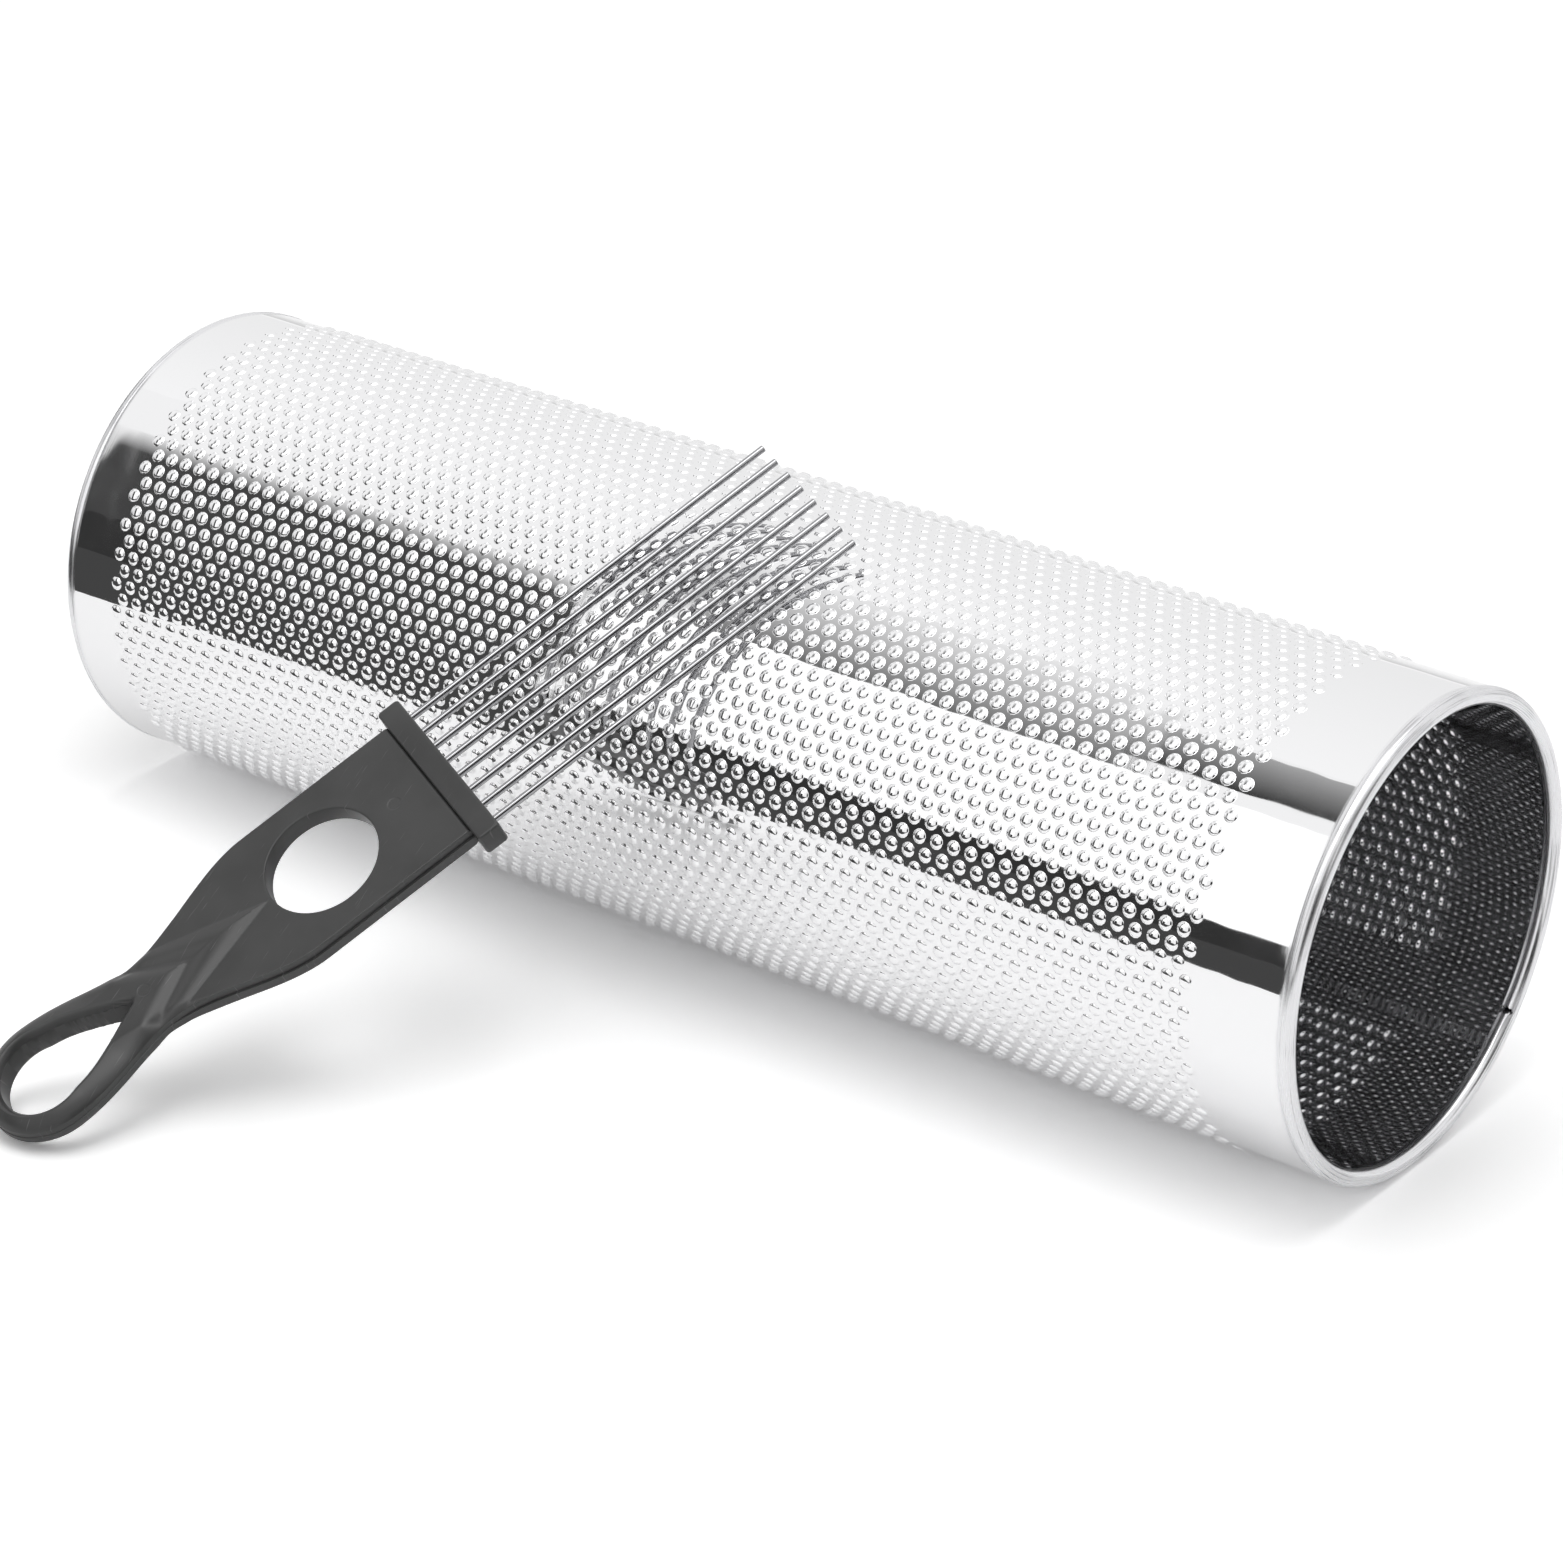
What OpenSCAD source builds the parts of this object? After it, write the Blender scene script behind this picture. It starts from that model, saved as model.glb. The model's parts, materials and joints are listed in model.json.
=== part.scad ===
// Metal guiro: a dimpled sheet-steel tube with rolled rims, and its wire scraper leaning on it.
// The tube lies along X on the floor at Z = 0. The scraper's tines rest on the dimples from the
// front, -Y, and the loop at the end of its handle rests on the floor.

/* [Tube] */
// Diameter over the dimple tips
tube_d = 95; // [80:0.5:120]
// Length over the rims
tube_l = 300; // [220:1:400]
// Thickness of the steel sheet
sheet_t = 0.5; // [0.4:0.05:0.8]
// Diameter of the curl that is rolled at each rim
curl_d = 3.5; // [3:0.1:6]
// How far the curl stands out past the wall
curl_proud = 0.2; // [0.1:0.05:0.3]
// Opening left between the end of the curl and the wall
curl_gap = 0.8; // [0.5:0.1:1.2]

/* [Dimpled field] */
// Height of the dimple tips above the wall
dimple_h = 0.45; // [0.35:0.05:0.7]
// Plain band from the near end of the tube, at +X, to the field
near_margin = 20.3; // [12:0.1:40]
// Plain band from the far end of the tube, at -X, to the field
far_margin = 13.2; // [12:0.1:40]

/* [Seam] */
// Place of the lap's edge inside the tube, from straight down towards the back
seam_angle = 48; // [20:1:120]
// Plain strip from the lap's edge up to the field
strip_above = 5; // [3:0.5:12]
// Plain strip from the lap's edge down to the field
strip_below = 10; // [9:0.5:16]
// Width of the lap, where the sheet lies double
lap_w = 8; // [3:0.5:8]
// Gap in the curl where the two ends of the sheet meet
curl_notch = 2; // [1:0.1:4]

/* [Tines] */
// Diameter of a tine's wire
tine_d = 1.4; // [1:0.1:1.8]
// Free length of a tine, in front of the head bar
tine_l = 85; // [70:1:110]
// Distance between neighbouring tines
tine_pitch = 4.75; // [3.5:0.05:6]
// Depth of a tine's root in the head bar
tine_root = 4.2; // [3:0.1:4.4]
// Bevel on a tine's tip
tip_bevel = 0.2; // [0.1:0.05:0.4]

/* [Head bar] */
// Depth of the bar, along the tines
bar_depth = 4.9; // [4.8:0.1:9]
// Thickness of the bar
bar_t = 5.2; // [4.4:0.1:8]
// Length of the bar past the outermost tines
bar_end = 3.9; // [2:0.1:6]
// Radius of the bar's corners
bar_r = 0.8; // [0.3:0.1:1.5]

/* [Handle] */
// Width of the paddle
paddle_w = 34.3; // [30:0.1:40]
// Thickness of the paddle
paddle_t = 4; // [3:0.1:5]
// Diameter of the finger hole
finger_d = 23.2; // [18:0.1:25]
// Finger hole's centre, from the front of the bar
finger_at = 30; // [26:0.5:34]
// Start of the taper, from the front of the bar
taper_at = 39.8; // [34:0.1:44]
// Narrowest point of the neck, from the front of the bar
neck_at = 71.3; // [66:0.1:76]
// Width of the neck
neck_w = 17; // [13:0.1:22]
// Centre of the hanging loop, from the front of the bar
loop_at = 94.5; // [90:0.1:104]
// Outer radius of the loop
loop_r = 13.1; // [12:0.1:16]
// Thickness of the loop
loop_t = 6.5; // [5:0.1:8]
// Radius of the round end of the loop's hole
eye_r = 8.75; // [7:0.05:10]
// Thickness of the loop at its very end
loop_end = 3.8; // [3:0.1:5]
// Point of the loop's hole, from the front of the bar
eye_point_at = 73.8; // [72:0.1:78]
// Tip of the first raised arrowhead, from the front of the bar
arrow_1_at = 42.2; // [40:0.1:48]
// Place where the first arrowhead's arms run out at the edges
arrow_1_arms = 66.5; // [60:0.1:70]
// Thickness of the handle at the first arrowhead's ridge
arrow_1_t = 5.8; // [5.2:0.1:7]
// Tip of the second raised arrowhead, from the front of the bar
arrow_2_at = 60.8; // [56:0.1:64]
// Place where the second arrowhead's arms reach the edges
arrow_2_arms = 73.8; // [70:0.1:78]

/* [Place of the scraper] */
// Distance from the front of the bar to the place where the tines rest on the tube
contact_at = 59; // [40:1:70]
// Skew of the tines away from square to the tube
skew = 23.9; // [0:0.1:35]
// Place of the scraper's middle line along the tube
contact_x = 3; // [-60:1:60]
// Clearance between the tines and the dimple tips
play = 0.2; // [0.15:0.05:0.5]
// Clearance round a tine in its socket
socket_play = 0.02; // [0.01:0.01:0.05]

/* [Hidden] */
tine_count = 8;
outline_steps = 12;
cut = 1;
$fn = 96;

tube_r = tube_d / 2;
wall_r = tube_r - dimple_h;
wall_in = wall_r - sheet_t;
rim_r = wall_r + curl_proud;
curl_r = curl_d / 2;
curl_at_r = rim_r - curl_r;
curl_at_z = tube_l / 2 - curl_r;
// The wall ends in the middle of the curl's own sheet
curl_mid_r = curl_r - sheet_t / 2;
wall_mid_r = wall_r - sheet_t / 2;
wall_end = curl_at_z - sqrt(pow(curl_mid_r, 2) - pow(wall_mid_r - curl_at_r, 2));
field_near = tube_l / 2 - near_margin;
field_far = -tube_l / 2 + far_margin;
lap_end = curl_at_z - curl_r - cut;

bar_w = (tine_count - 1) * tine_pitch + 2 * bar_end;
eye_at = loop_at + loop_r - loop_end - eye_r;
rest_r = tube_r + play + tine_d / 2;
tail_s = contact_at + loop_at;

// Lean of the scraper at which the loop's lower face just meets the floor
reach_down = tail_s * cos(skew) + loop_r;
rise = rest_r - loop_t / 2;
lean = asin(tube_r / norm([reach_down, rise])) + atan2(rise, reach_down);

// The origin lies on the floor under the middle of the whole set
tail_y = rest_r * sin(lean) + tail_s * cos(skew) * cos(lean) + loop_r * cos(lean) + loop_t / 2 * sin(lean);
axis_y = (tail_y - tube_r) / 2;

// Angle that an arc of this length takes up on the wall
function arc_angle(length) = length / wall_r * 180 / PI;
function ease(t) = t * t * (3 - 2 * t);
function mirrored(points) = [for (i = [len(points) - 1 : -1 : 0]) [points[i][0], -points[i][1]]];

// A piece of a thick pipe between two radii, two heights and two angles
module sector(r1, r2, z1, z2, a1, a2) {
    rotate(a1)
        rotate_extrude(angle = a2 - a1)
            translate([r1, z1])
                square([r2 - r1, z2 - z1]);
}

// The tube is drawn upright and laid along X with its near end at +X
module along_tube() {
    translate([0, axis_y, tube_r])
        rotate([0, 90, 0])
            children();
}

// Surface through the dimple tips, all round but for the strip along the seam
module tip_field(inset, r1, r2) {
    upper = seam_angle + arc_angle(strip_above + inset);
    lower = seam_angle - arc_angle(strip_below + inset);
    sector(r1, r2, field_far + inset, field_near - inset, upper, lower + 360);
}

// Sheet of the wall, raised by the height of the dimples over the field
module wall_sheet() {
    difference() {
        union() {
            rotate_extrude()
                translate([wall_in, -wall_end])
                    square([sheet_t, 2 * wall_end]);
            tip_field(0, wall_mid_r, tube_r);
        }
        tip_field(sheet_t, wall_in - cut, tube_r - sheet_t);
    }
}

// Rolled rim at the near end: the sheet turns outwards, over and back in to the wall
module rim() {
    notch = arc_angle(curl_notch / 2);
    difference() {
        rotate_extrude()
            translate([curl_at_r, curl_at_z])
                difference() {
                    circle(r = curl_r);
                    circle(r = curl_r - sheet_t);
                    translate([wall_in - curl_gap - curl_at_r, -curl_r - cut])
                        square([curl_gap, curl_r + cut]);
                }
        sector(curl_at_r - curl_r - cut, curl_at_r, curl_at_z - curl_r - cut, curl_at_z + curl_r + cut,
               seam_angle - notch, seam_angle + notch);
    }
}

module tube() {
    color("gainsboro") along_tube() {
        wall_sheet();
        rim();
        mirror([0, 0, 1]) rim();
        sector(wall_in - sheet_t, wall_in + sheet_t / 2, -lap_end, lap_end,
               seam_angle - arc_angle(lap_w), seam_angle);
    }
}

// The scraper is drawn with the middle of its bar's front at the origin and its tines along +X
module on_tube() {
    translate([contact_x, axis_y, tube_r])
        rotate([lean, 0, 0])
            translate([0, 0, rest_r])
                rotate([0, 0, 90 - skew])
                    translate([-contact_at, 0, 0])
                        children();
}

// Flat outline drawn towards the handle's end, made a plate of the given thickness
module plate(thickness) {
    mirror([1, 0, 0])
        linear_extrude(thickness, center = true)
            children();
}

module handle_outline() {
    taper = [for (i = [0 : outline_steps]) let (t = i / outline_steps)
        [taper_at + t * (neck_at - taper_at), paddle_w / 2 - ease(t) * (paddle_w - neck_w) / 2]];
    flare = [for (i = [1 : outline_steps]) let (t = i / outline_steps)
        [neck_at + t * (loop_at - neck_at), neck_w / 2 + sin(90 * t) * (loop_r - neck_w / 2)]];
    side = concat([[bar_depth, paddle_w / 2]], taper, flare);
    polygon(concat(side, mirrored(side)));
    translate([loop_at, 0]) circle(r = loop_r);
}

// Teardrop hole in the loop, with straight sides that meet its round end smoothly
module eye_outline() {
    reach = eye_at - eye_point_at;
    half = asin(eye_r / reach);
    side = sqrt(pow(reach, 2) - pow(eye_r, 2));
    translate([eye_at, 0]) circle(r = eye_r);
    translate([eye_point_at, 0])
        polygon([[0, 0], side * [cos(half), sin(half)], [reach, 0], side * [cos(half), -sin(half)]]);
}

// The handle's outline behind an arrowhead whose arms reach the neck's edges
module arrow_outline(tip, arms) {
    end = loop_at + loop_r + cut;
    spread = (end - tip) / (arms - tip) * neck_w / 2;
    intersection() {
        handle_outline();
        polygon([[tip, 0], [end, spread], [end, -spread]]);
    }
}

// Long roof on both faces, with its ridge on the middle line, flush with the paddle at the neck's edges
module ridge_roof(ridge_t) {
    half_w = paddle_w / 2;
    edge_z = ridge_t / 2 - (ridge_t - paddle_t) / 2 * paddle_w / neck_w;
    rotate([90, 0, -90])
        linear_extrude(loop_at)
            polygon([[0, ridge_t / 2], [half_w, edge_z], [half_w, -edge_z],
                     [0, -ridge_t / 2], [-half_w, -edge_z], [-half_w, edge_z]]);
}

module handle() {
    color("dimgray") on_tube() difference() {
        union() {
            plate(paddle_t) handle_outline();
            intersection() {
                plate(arrow_1_t) arrow_outline(arrow_1_at, arrow_1_arms);
                ridge_roof(arrow_1_t);
            }
            plate(loop_t) arrow_outline(arrow_2_at, arrow_2_arms);
        }
        plate(loop_t + cut) eye_outline();
        translate([-finger_at, 0, 0]) cylinder(h = loop_t + cut, d = finger_d, center = true);
    }
}

// Bar that is moulded over the roots of the tines, wider and thicker than the paddle behind it
module head_bar() {
    color("dimgray") on_tube() difference() {
        plate(bar_t) translate([bar_depth / 2, 0]) {
            square([bar_depth, bar_w - 2 * bar_r], center = true);
            square([bar_depth - 2 * bar_r, bar_w], center = true);
            for (u = [-1, 1], w = [-1, 1])
                translate([u * (bar_depth / 2 - bar_r), w * (bar_w / 2 - bar_r)]) circle(r = bar_r);
        }
        for (i = [1 : tine_count])
            translate([-tine_root - socket_play, tine_w(i), 0])
                rotate([0, 90, 0]) cylinder(h = tine_root + socket_play + cut, d = tine_d + 2 * socket_play);
    }
}

// Place of a tine across the bar
function tine_w(i) = (i - (tine_count + 1) / 2) * tine_pitch;

module tine(i) {
    color("silver") on_tube()
        translate([-tine_root, tine_w(i), 0])
            rotate([0, 90, 0])
                rotate_extrude()
                    polygon([[0, 0], [tine_d / 2, 0], [tine_d / 2, tine_root + tine_l - tip_bevel],
                             [tine_d / 2 - tip_bevel, tine_root + tine_l], [0, tine_root + tine_l]]);
}

tube();
handle();
head_bar();
for (i = [1 : tine_count])
    tine(i);
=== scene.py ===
"""Metal guiro and its wire scraper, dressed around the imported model.

The tube is modelled as it is made: a flat sheet is embossed with dimples, its margins are drawn
out for the rims and the seam, the sheet gets its thickness and is then rolled round the axis.
The scraper's handle grows ring by ring from its two holes, and its tines are drawn wires.
Sizes are in millimetres and finished meshes in metres.
"""

import json
import logging
import math
from collections.abc import Callable
from dataclasses import dataclass, field
from enum import Enum

import bmesh
import bpy
import numpy as np
from mathutils import Matrix, Vector


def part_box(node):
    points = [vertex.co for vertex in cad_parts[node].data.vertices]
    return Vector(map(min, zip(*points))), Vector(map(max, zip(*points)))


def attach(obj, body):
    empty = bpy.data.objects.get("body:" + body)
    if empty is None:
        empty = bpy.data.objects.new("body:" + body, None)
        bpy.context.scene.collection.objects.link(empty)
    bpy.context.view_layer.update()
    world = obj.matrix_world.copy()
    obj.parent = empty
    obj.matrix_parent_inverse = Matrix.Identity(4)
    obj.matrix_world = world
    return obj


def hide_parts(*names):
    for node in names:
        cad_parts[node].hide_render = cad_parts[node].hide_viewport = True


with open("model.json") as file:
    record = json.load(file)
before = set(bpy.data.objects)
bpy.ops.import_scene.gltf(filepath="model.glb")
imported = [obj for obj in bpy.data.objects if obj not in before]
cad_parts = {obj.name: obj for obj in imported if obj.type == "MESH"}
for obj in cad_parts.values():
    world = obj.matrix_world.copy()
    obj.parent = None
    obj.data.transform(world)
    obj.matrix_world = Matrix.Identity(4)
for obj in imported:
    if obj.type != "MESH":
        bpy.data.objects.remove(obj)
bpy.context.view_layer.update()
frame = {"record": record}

Piece = bpy.types.Object
Material = bpy.types.Material
Tree = bpy.types.NodeTree
Node = bpy.types.Node
Socket = bpy.types.NodeSocket

LOG = logging.getLogger("guiro")
MM = 0.001
# Lengths below this are taken as none
TINY = 1e-6
WHITE = (1.0, 1.0, 1.0, 1.0)
# The Mix node's colour sockets, which share their names with its other sockets
MIX_A = 6
MIX_B = 7
MIXED = 2
# Scale at which Blender's wave texture draws one stroke to a unit
WAVE_TURN = math.tau / 20
# Sizes that the handle shares with the scraper's axes and its head
FINGER_AT = 30.0
BAR_DEPTH = 4.9


class Slot(Enum):
    """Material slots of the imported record."""

    SHEET = "polished_sheet_steel"
    WIRE = "tine_wire"
    PLASTIC = "moulded_handle_plastic"


class Body(Enum):
    """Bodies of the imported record."""

    GUIRO = "guiro"
    SCRAPER = "scraper"


def linear(hex_colour: str) -> tuple[float, float, float, float]:
    """Turn an sRGB hex colour to linear RGBA.

    Args:
        hex_colour: Colour such as "#8090a0".

    Returns:
        Linear red, green, blue and an alpha of 1.
    """
    channels = [int(hex_colour[i:i + 2], 16) / 255 for i in (1, 3, 5)]
    low = [c / 12.92 if c <= 0.04045 else ((c + 0.055) / 1.055) ** 2.4 for c in channels]
    return (low[0], low[1], low[2], 1.0)


def add_node(tree: Tree, kind: str, inputs: dict | tuple = (), **settings) -> Node:
    """Add a node with its settings, and set or link its inputs.

    Args:
        tree: Node tree that takes the node.
        kind: Blender's name of the node type.
        inputs: Value or socket for each input, by its name or index, or in the node's own order.
        **settings: Properties of the node itself.

    Returns:
        The new node.
    """
    node = tree.nodes.new(kind)
    for name, value in settings.items():
        setattr(node, name, value)
    for name, value in inputs.items() if isinstance(inputs, dict) else enumerate(inputs):
        if isinstance(value, Socket):
            tree.links.new(value, node.inputs[name])
        else:
            node.inputs[name].default_value = value
    return node


def new_material(name: str) -> tuple[Material, Tree, Node]:
    """Make a material with an empty tree and an output.

    Args:
        name: Name of the material.

    Returns:
        The material, its node tree and its output node.
    """
    made = bpy.data.materials.new(name)
    made.use_nodes = True
    made.node_tree.nodes.clear()
    return made, made.node_tree, add_node(made.node_tree, "ShaderNodeOutputMaterial")


def per_metre(size_mm: float) -> float:
    """Texture scale at which one pattern cell has this size."""
    return 1 / (size_mm * MM)


def metres(sizes: tuple[float, ...]) -> tuple[float, ...]:
    """Sizes in metres, from millimetres."""
    return tuple(size * MM for size in sizes)


@dataclass(frozen=True)
class BrightSheet:
    """Stainless steel sheet, bright rolled: a near mirror with faint smudges, scuffed at the rims, which
    also carry grey streaks of painted reflection.
    """

    name: str = "bright_rolled_stainless_sheet"
    colour: str = "#f1f1f2"
    roughness: tuple[float, float] = (0.02, 0.06)
    smudge: float = 16.0
    smudge_range: tuple[float, float] = (0.35, 0.7)
    wave: float = 13.0
    wave_h: float = 0.11
    hairline: tuple[float, float] = (0.3, 30.0)
    hairline_range: tuple[float, float] = (0.3, 0.7)
    hairline_h: float = 0.02
    hairline_strength: tuple[float, float] = (0.03, 0.35)
    rim_from: tuple[float, float] = (146.8, 147.6)
    rim_roughness: tuple[float, float] = (0.156, 0.364)
    # Colours and ranges of the rim's painted reflection streaks, from bright to mirrored dark grey
    rim_reflection_colours: tuple[str, str] = ("#e4e4e6", "#78787a")
    reflection_patch_range: tuple[float, float] = (0.36, 0.64)
    reflection_patch_from: tuple[float, float] = (0.68, 0.46)
    reflection_streak_to: float = 0.74

    def material(self) -> Material:
        """Build the node material and return it."""
        made, tree, output = new_material(self.name)
        place = add_node(tree, "ShaderNodeTexCoord").outputs
        # Cloudy differences in polish, as wide as a finger mark
        smudges = add_node(tree, "ShaderNodeTexNoise", {
            "Vector": place["Object"], "Scale": per_metre(self.smudge), "Detail": 4.0}).outputs["Fac"]
        polish = add_node(tree, "ShaderNodeMapRange", (smudges, *self.smudge_range, *self.roughness))
        # Hairlines run round the tube, where the rim was rolled over
        stretched = add_node(tree, "ShaderNodeMapping", {
            "Vector": place["UV"], "Scale": (*map(per_metre, self.hairline), 1.0)})
        lines = add_node(tree, "ShaderNodeTexNoise", {
            "Vector": stretched.outputs["Vector"], "Scale": 1.0, "Detail": 3.0,
            "Roughness": 0.6}).outputs["Fac"]
        axes = add_node(tree, "ShaderNodeSeparateXYZ", {"Vector": place["Object"]})
        off_middle = add_node(tree, "ShaderNodeMath", (axes.outputs["X"],), operation="ABSOLUTE")
        rim = add_node(tree, "ShaderNodeMapRange", (
            off_middle.outputs["Value"], *metres(self.rim_from))).outputs["Result"]
        scuffed = add_node(tree, "ShaderNodeMapRange", (lines, *self.hairline_range, *self.rim_roughness))
        roughness = add_node(tree, "ShaderNodeMix", {
            "Factor": rim, "A": polish.outputs["Result"], "B": scuffed.outputs["Result"]})
        strength = add_node(tree, "ShaderNodeMapRange", (rim, 0.0, 1.0, *self.hairline_strength))
        bump = add_node(tree, "ShaderNodeBump", {
            "Strength": strength.outputs["Result"], "Distance": self.hairline_h * MM, "Height": lines})
        # The sheet is a little wavy, which bends the edges of what it mirrors
        waves = add_node(tree, "ShaderNodeTexNoise", {
            "Vector": place["Object"], "Scale": per_metre(self.wave), "Detail": 1.0})
        wavy = add_node(tree, "ShaderNodeBump", {
            "Strength": 1.0, "Distance": self.wave_h * MM, "Height": waves.outputs["Fac"],
            "Normal": bump.outputs["Normal"]})
        # Painted reflection on the rim: grey streaks along its hairlines stand in for the darker
        # surroundings that the rolled rim mirrors, heavier in some places than in others
        reflection_patches = add_node(tree, "ShaderNodeMapRange", (smudges, *self.reflection_patch_range, *self.reflection_patch_from))
        reflection_streaks = add_node(tree, "ShaderNodeMapRange", (lines, reflection_patches.outputs["Result"], self.reflection_streak_to))
        bright, mirrored_dark = map(linear, self.rim_reflection_colours)
        rim_painted_reflection = add_node(tree, "ShaderNodeMix", {
            "Factor": reflection_streaks.outputs["Result"], MIX_A: bright, MIX_B: mirrored_dark}, data_type="RGBA")
        colour = add_node(tree, "ShaderNodeMix", {
            "Factor": rim, MIX_A: linear(self.colour), MIX_B: rim_painted_reflection.outputs[MIXED]}, data_type="RGBA")
        shader = add_node(tree, "ShaderNodeBsdfPrincipled", {
            "Base Color": colour.outputs[MIXED], "Metallic": 1.0, "Roughness": roughness.outputs["Result"],
            "Normal": wavy.outputs["Normal"]})
        tree.links.new(shader.outputs["BSDF"], output.inputs["Surface"])
        return made


@dataclass(frozen=True)
class DullSheet:
    """The same sheet's inner face, as rolled: a dim mirror with scratches and the seam's weld marks."""

    name: str = "dull_inner_sheet"
    colours: tuple[str, str] = ("#cacacc", "#dededf")
    metallic: float = 0.98
    roughness: tuple[float, float] = (0.05, 0.02)
    stain: float = 9.0
    stain_range: tuple[float, float] = (0.3, 0.7)
    mark_colour: str = "#d8d8da"
    mark_roughness: float = 0.35
    mark_core: float = 0.6
    weld_at: float = 281.9
    weld_half: float = 1.5
    weld_pitch: float = 1.5
    weld_range: tuple[float, float] = (0.2, 1.2)
    weld_strong: tuple[float, float] = (105.0, 128.0)
    weld_strength: tuple[float, float] = (0.3, 1.0)
    seam_at: float = 288.4
    seam_half: float = 0.4
    seam_range: tuple[float, float] = (0.55, 0.75)
    scratch_at: float = 2.0
    scratch_half: float = 4.0
    scratch_range: tuple[float, float] = (0.66, 0.72)
    scratch: tuple[float, float] = (1.3, 14.0)

    def material(self) -> Material:
        """Build the node material and return it."""
        made, tree, output = new_material(self.name)
        place = add_node(tree, "ShaderNodeTexCoord").outputs
        stains = add_node(tree, "ShaderNodeTexNoise", {
            "Vector": place["Object"], "Scale": per_metre(self.stain), "Detail": 5.0}).outputs["Fac"]
        marks = self.marks(tree, place["UV"])
        dark, light = map(linear, self.colours)
        plain = add_node(tree, "ShaderNodeMix", {
            "Factor": stains, MIX_A: dark, MIX_B: light}, data_type="RGBA")
        colour = add_node(tree, "ShaderNodeMix", {
            "Factor": marks, MIX_A: plain.outputs[MIXED], MIX_B: linear(self.mark_colour)}, data_type="RGBA")
        stained = add_node(tree, "ShaderNodeMapRange", (stains, *self.stain_range, *self.roughness))
        roughness = add_node(tree, "ShaderNodeMix", {
            "Factor": marks, "A": stained.outputs["Result"], "B": self.mark_roughness})
        shader = add_node(tree, "ShaderNodeBsdfPrincipled", {
            "Base Color": colour.outputs[MIXED], "Metallic": self.metallic,
            "Roughness": roughness.outputs["Result"]})
        tree.links.new(shader.outputs["BSDF"], output.inputs["Surface"])
        return made

    def marks(self, tree: Tree, sheet: Socket) -> Socket:
        """Draw weld marks, scratches and the specks at the seam's edge on the flat sheet.

        Args:
            tree: Node tree of the finish.
            sheet: Place on the flat sheet, along the tube and round it.

        Returns:
            Share of each mark, from 0 to 1.
        """
        axes = add_node(tree, "ShaderNodeSeparateXYZ", {"Vector": sheet})
        # Spot welds press short strokes across the seam, which are strongest near the tube's end
        strokes = add_node(tree, "ShaderNodeTexWave", {
            "Vector": sheet, "Scale": WAVE_TURN * per_metre(self.weld_pitch), "Distortion": 3.0,
            "Detail": 2.0, "Detail Scale": 2.0})
        strong = add_node(tree, "ShaderNodeMapRange", (
            axes.outputs["X"], *metres(self.weld_strong), *self.weld_strength))
        welds = add_node(tree, "ShaderNodeMath", (
            strokes.outputs["Fac"], strong.outputs["Result"]), operation="MULTIPLY").outputs["Value"]
        drawn = add_node(tree, "ShaderNodeMapping", {
            "Vector": sheet, "Scale": (*map(per_metre, self.scratch), 1.0)})
        threads = add_node(tree, "ShaderNodeTexNoise", {
            "Vector": drawn.outputs["Vector"], "Scale": 1.0}).outputs["Fac"]
        rows = ((self.weld_at, self.weld_half, welds, self.weld_range),
                (self.seam_at, self.seam_half, threads, self.seam_range),
                (self.scratch_at, self.scratch_half, threads, self.scratch_range))
        total = 0.0
        for middle, half, pattern, limits in rows:
            beside = add_node(tree, "ShaderNodeMath", (axes.outputs["Y"], middle * MM), operation="SUBTRACT")
            away = add_node(tree, "ShaderNodeMath", (beside.outputs["Value"],), operation="ABSOLUTE")
            band = add_node(tree, "ShaderNodeMapRange", (
                away.outputs["Value"], *metres((half * self.mark_core, half)), 1.0, 0.0))
            strength = add_node(tree, "ShaderNodeMapRange", (pattern, *limits))
            mark = add_node(tree, "ShaderNodeMath", (
                band.outputs["Result"], strength.outputs["Result"]), operation="MULTIPLY")
            total = add_node(tree, "ShaderNodeMath", (
                total, mark.outputs["Value"]), operation="MAXIMUM").outputs["Value"]
        return total


@dataclass(frozen=True)
class DrawnWire:
    """Spring wire, drawn bright: a narrow sharp glint with fine draw marks along the wire."""

    name: str = "bright_drawn_spring_wire"
    colour: str = "#a0a0a2"
    roughness: tuple[float, float] = (0.07, 0.15)
    mark: float = 2.5
    mark_range: tuple[float, float] = (0.3, 0.7)

    def material(self) -> Material:
        """Build the node material and return it."""
        made, tree, output = new_material(self.name)
        place = add_node(tree, "ShaderNodeTexCoord").outputs
        marks = add_node(tree, "ShaderNodeTexNoise", {
            "Vector": place["Object"], "Scale": per_metre(self.mark), "Detail": 4.0})
        roughness = add_node(tree, "ShaderNodeMapRange", (
            marks.outputs["Fac"], *self.mark_range, *self.roughness))
        shader = add_node(tree, "ShaderNodeBsdfPrincipled", {
            "Base Color": linear(self.colour), "Metallic": 1.0, "Roughness": roughness.outputs["Result"]})
        tree.links.new(shader.outputs["BSDF"], output.inputs["Surface"])
        return made


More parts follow.
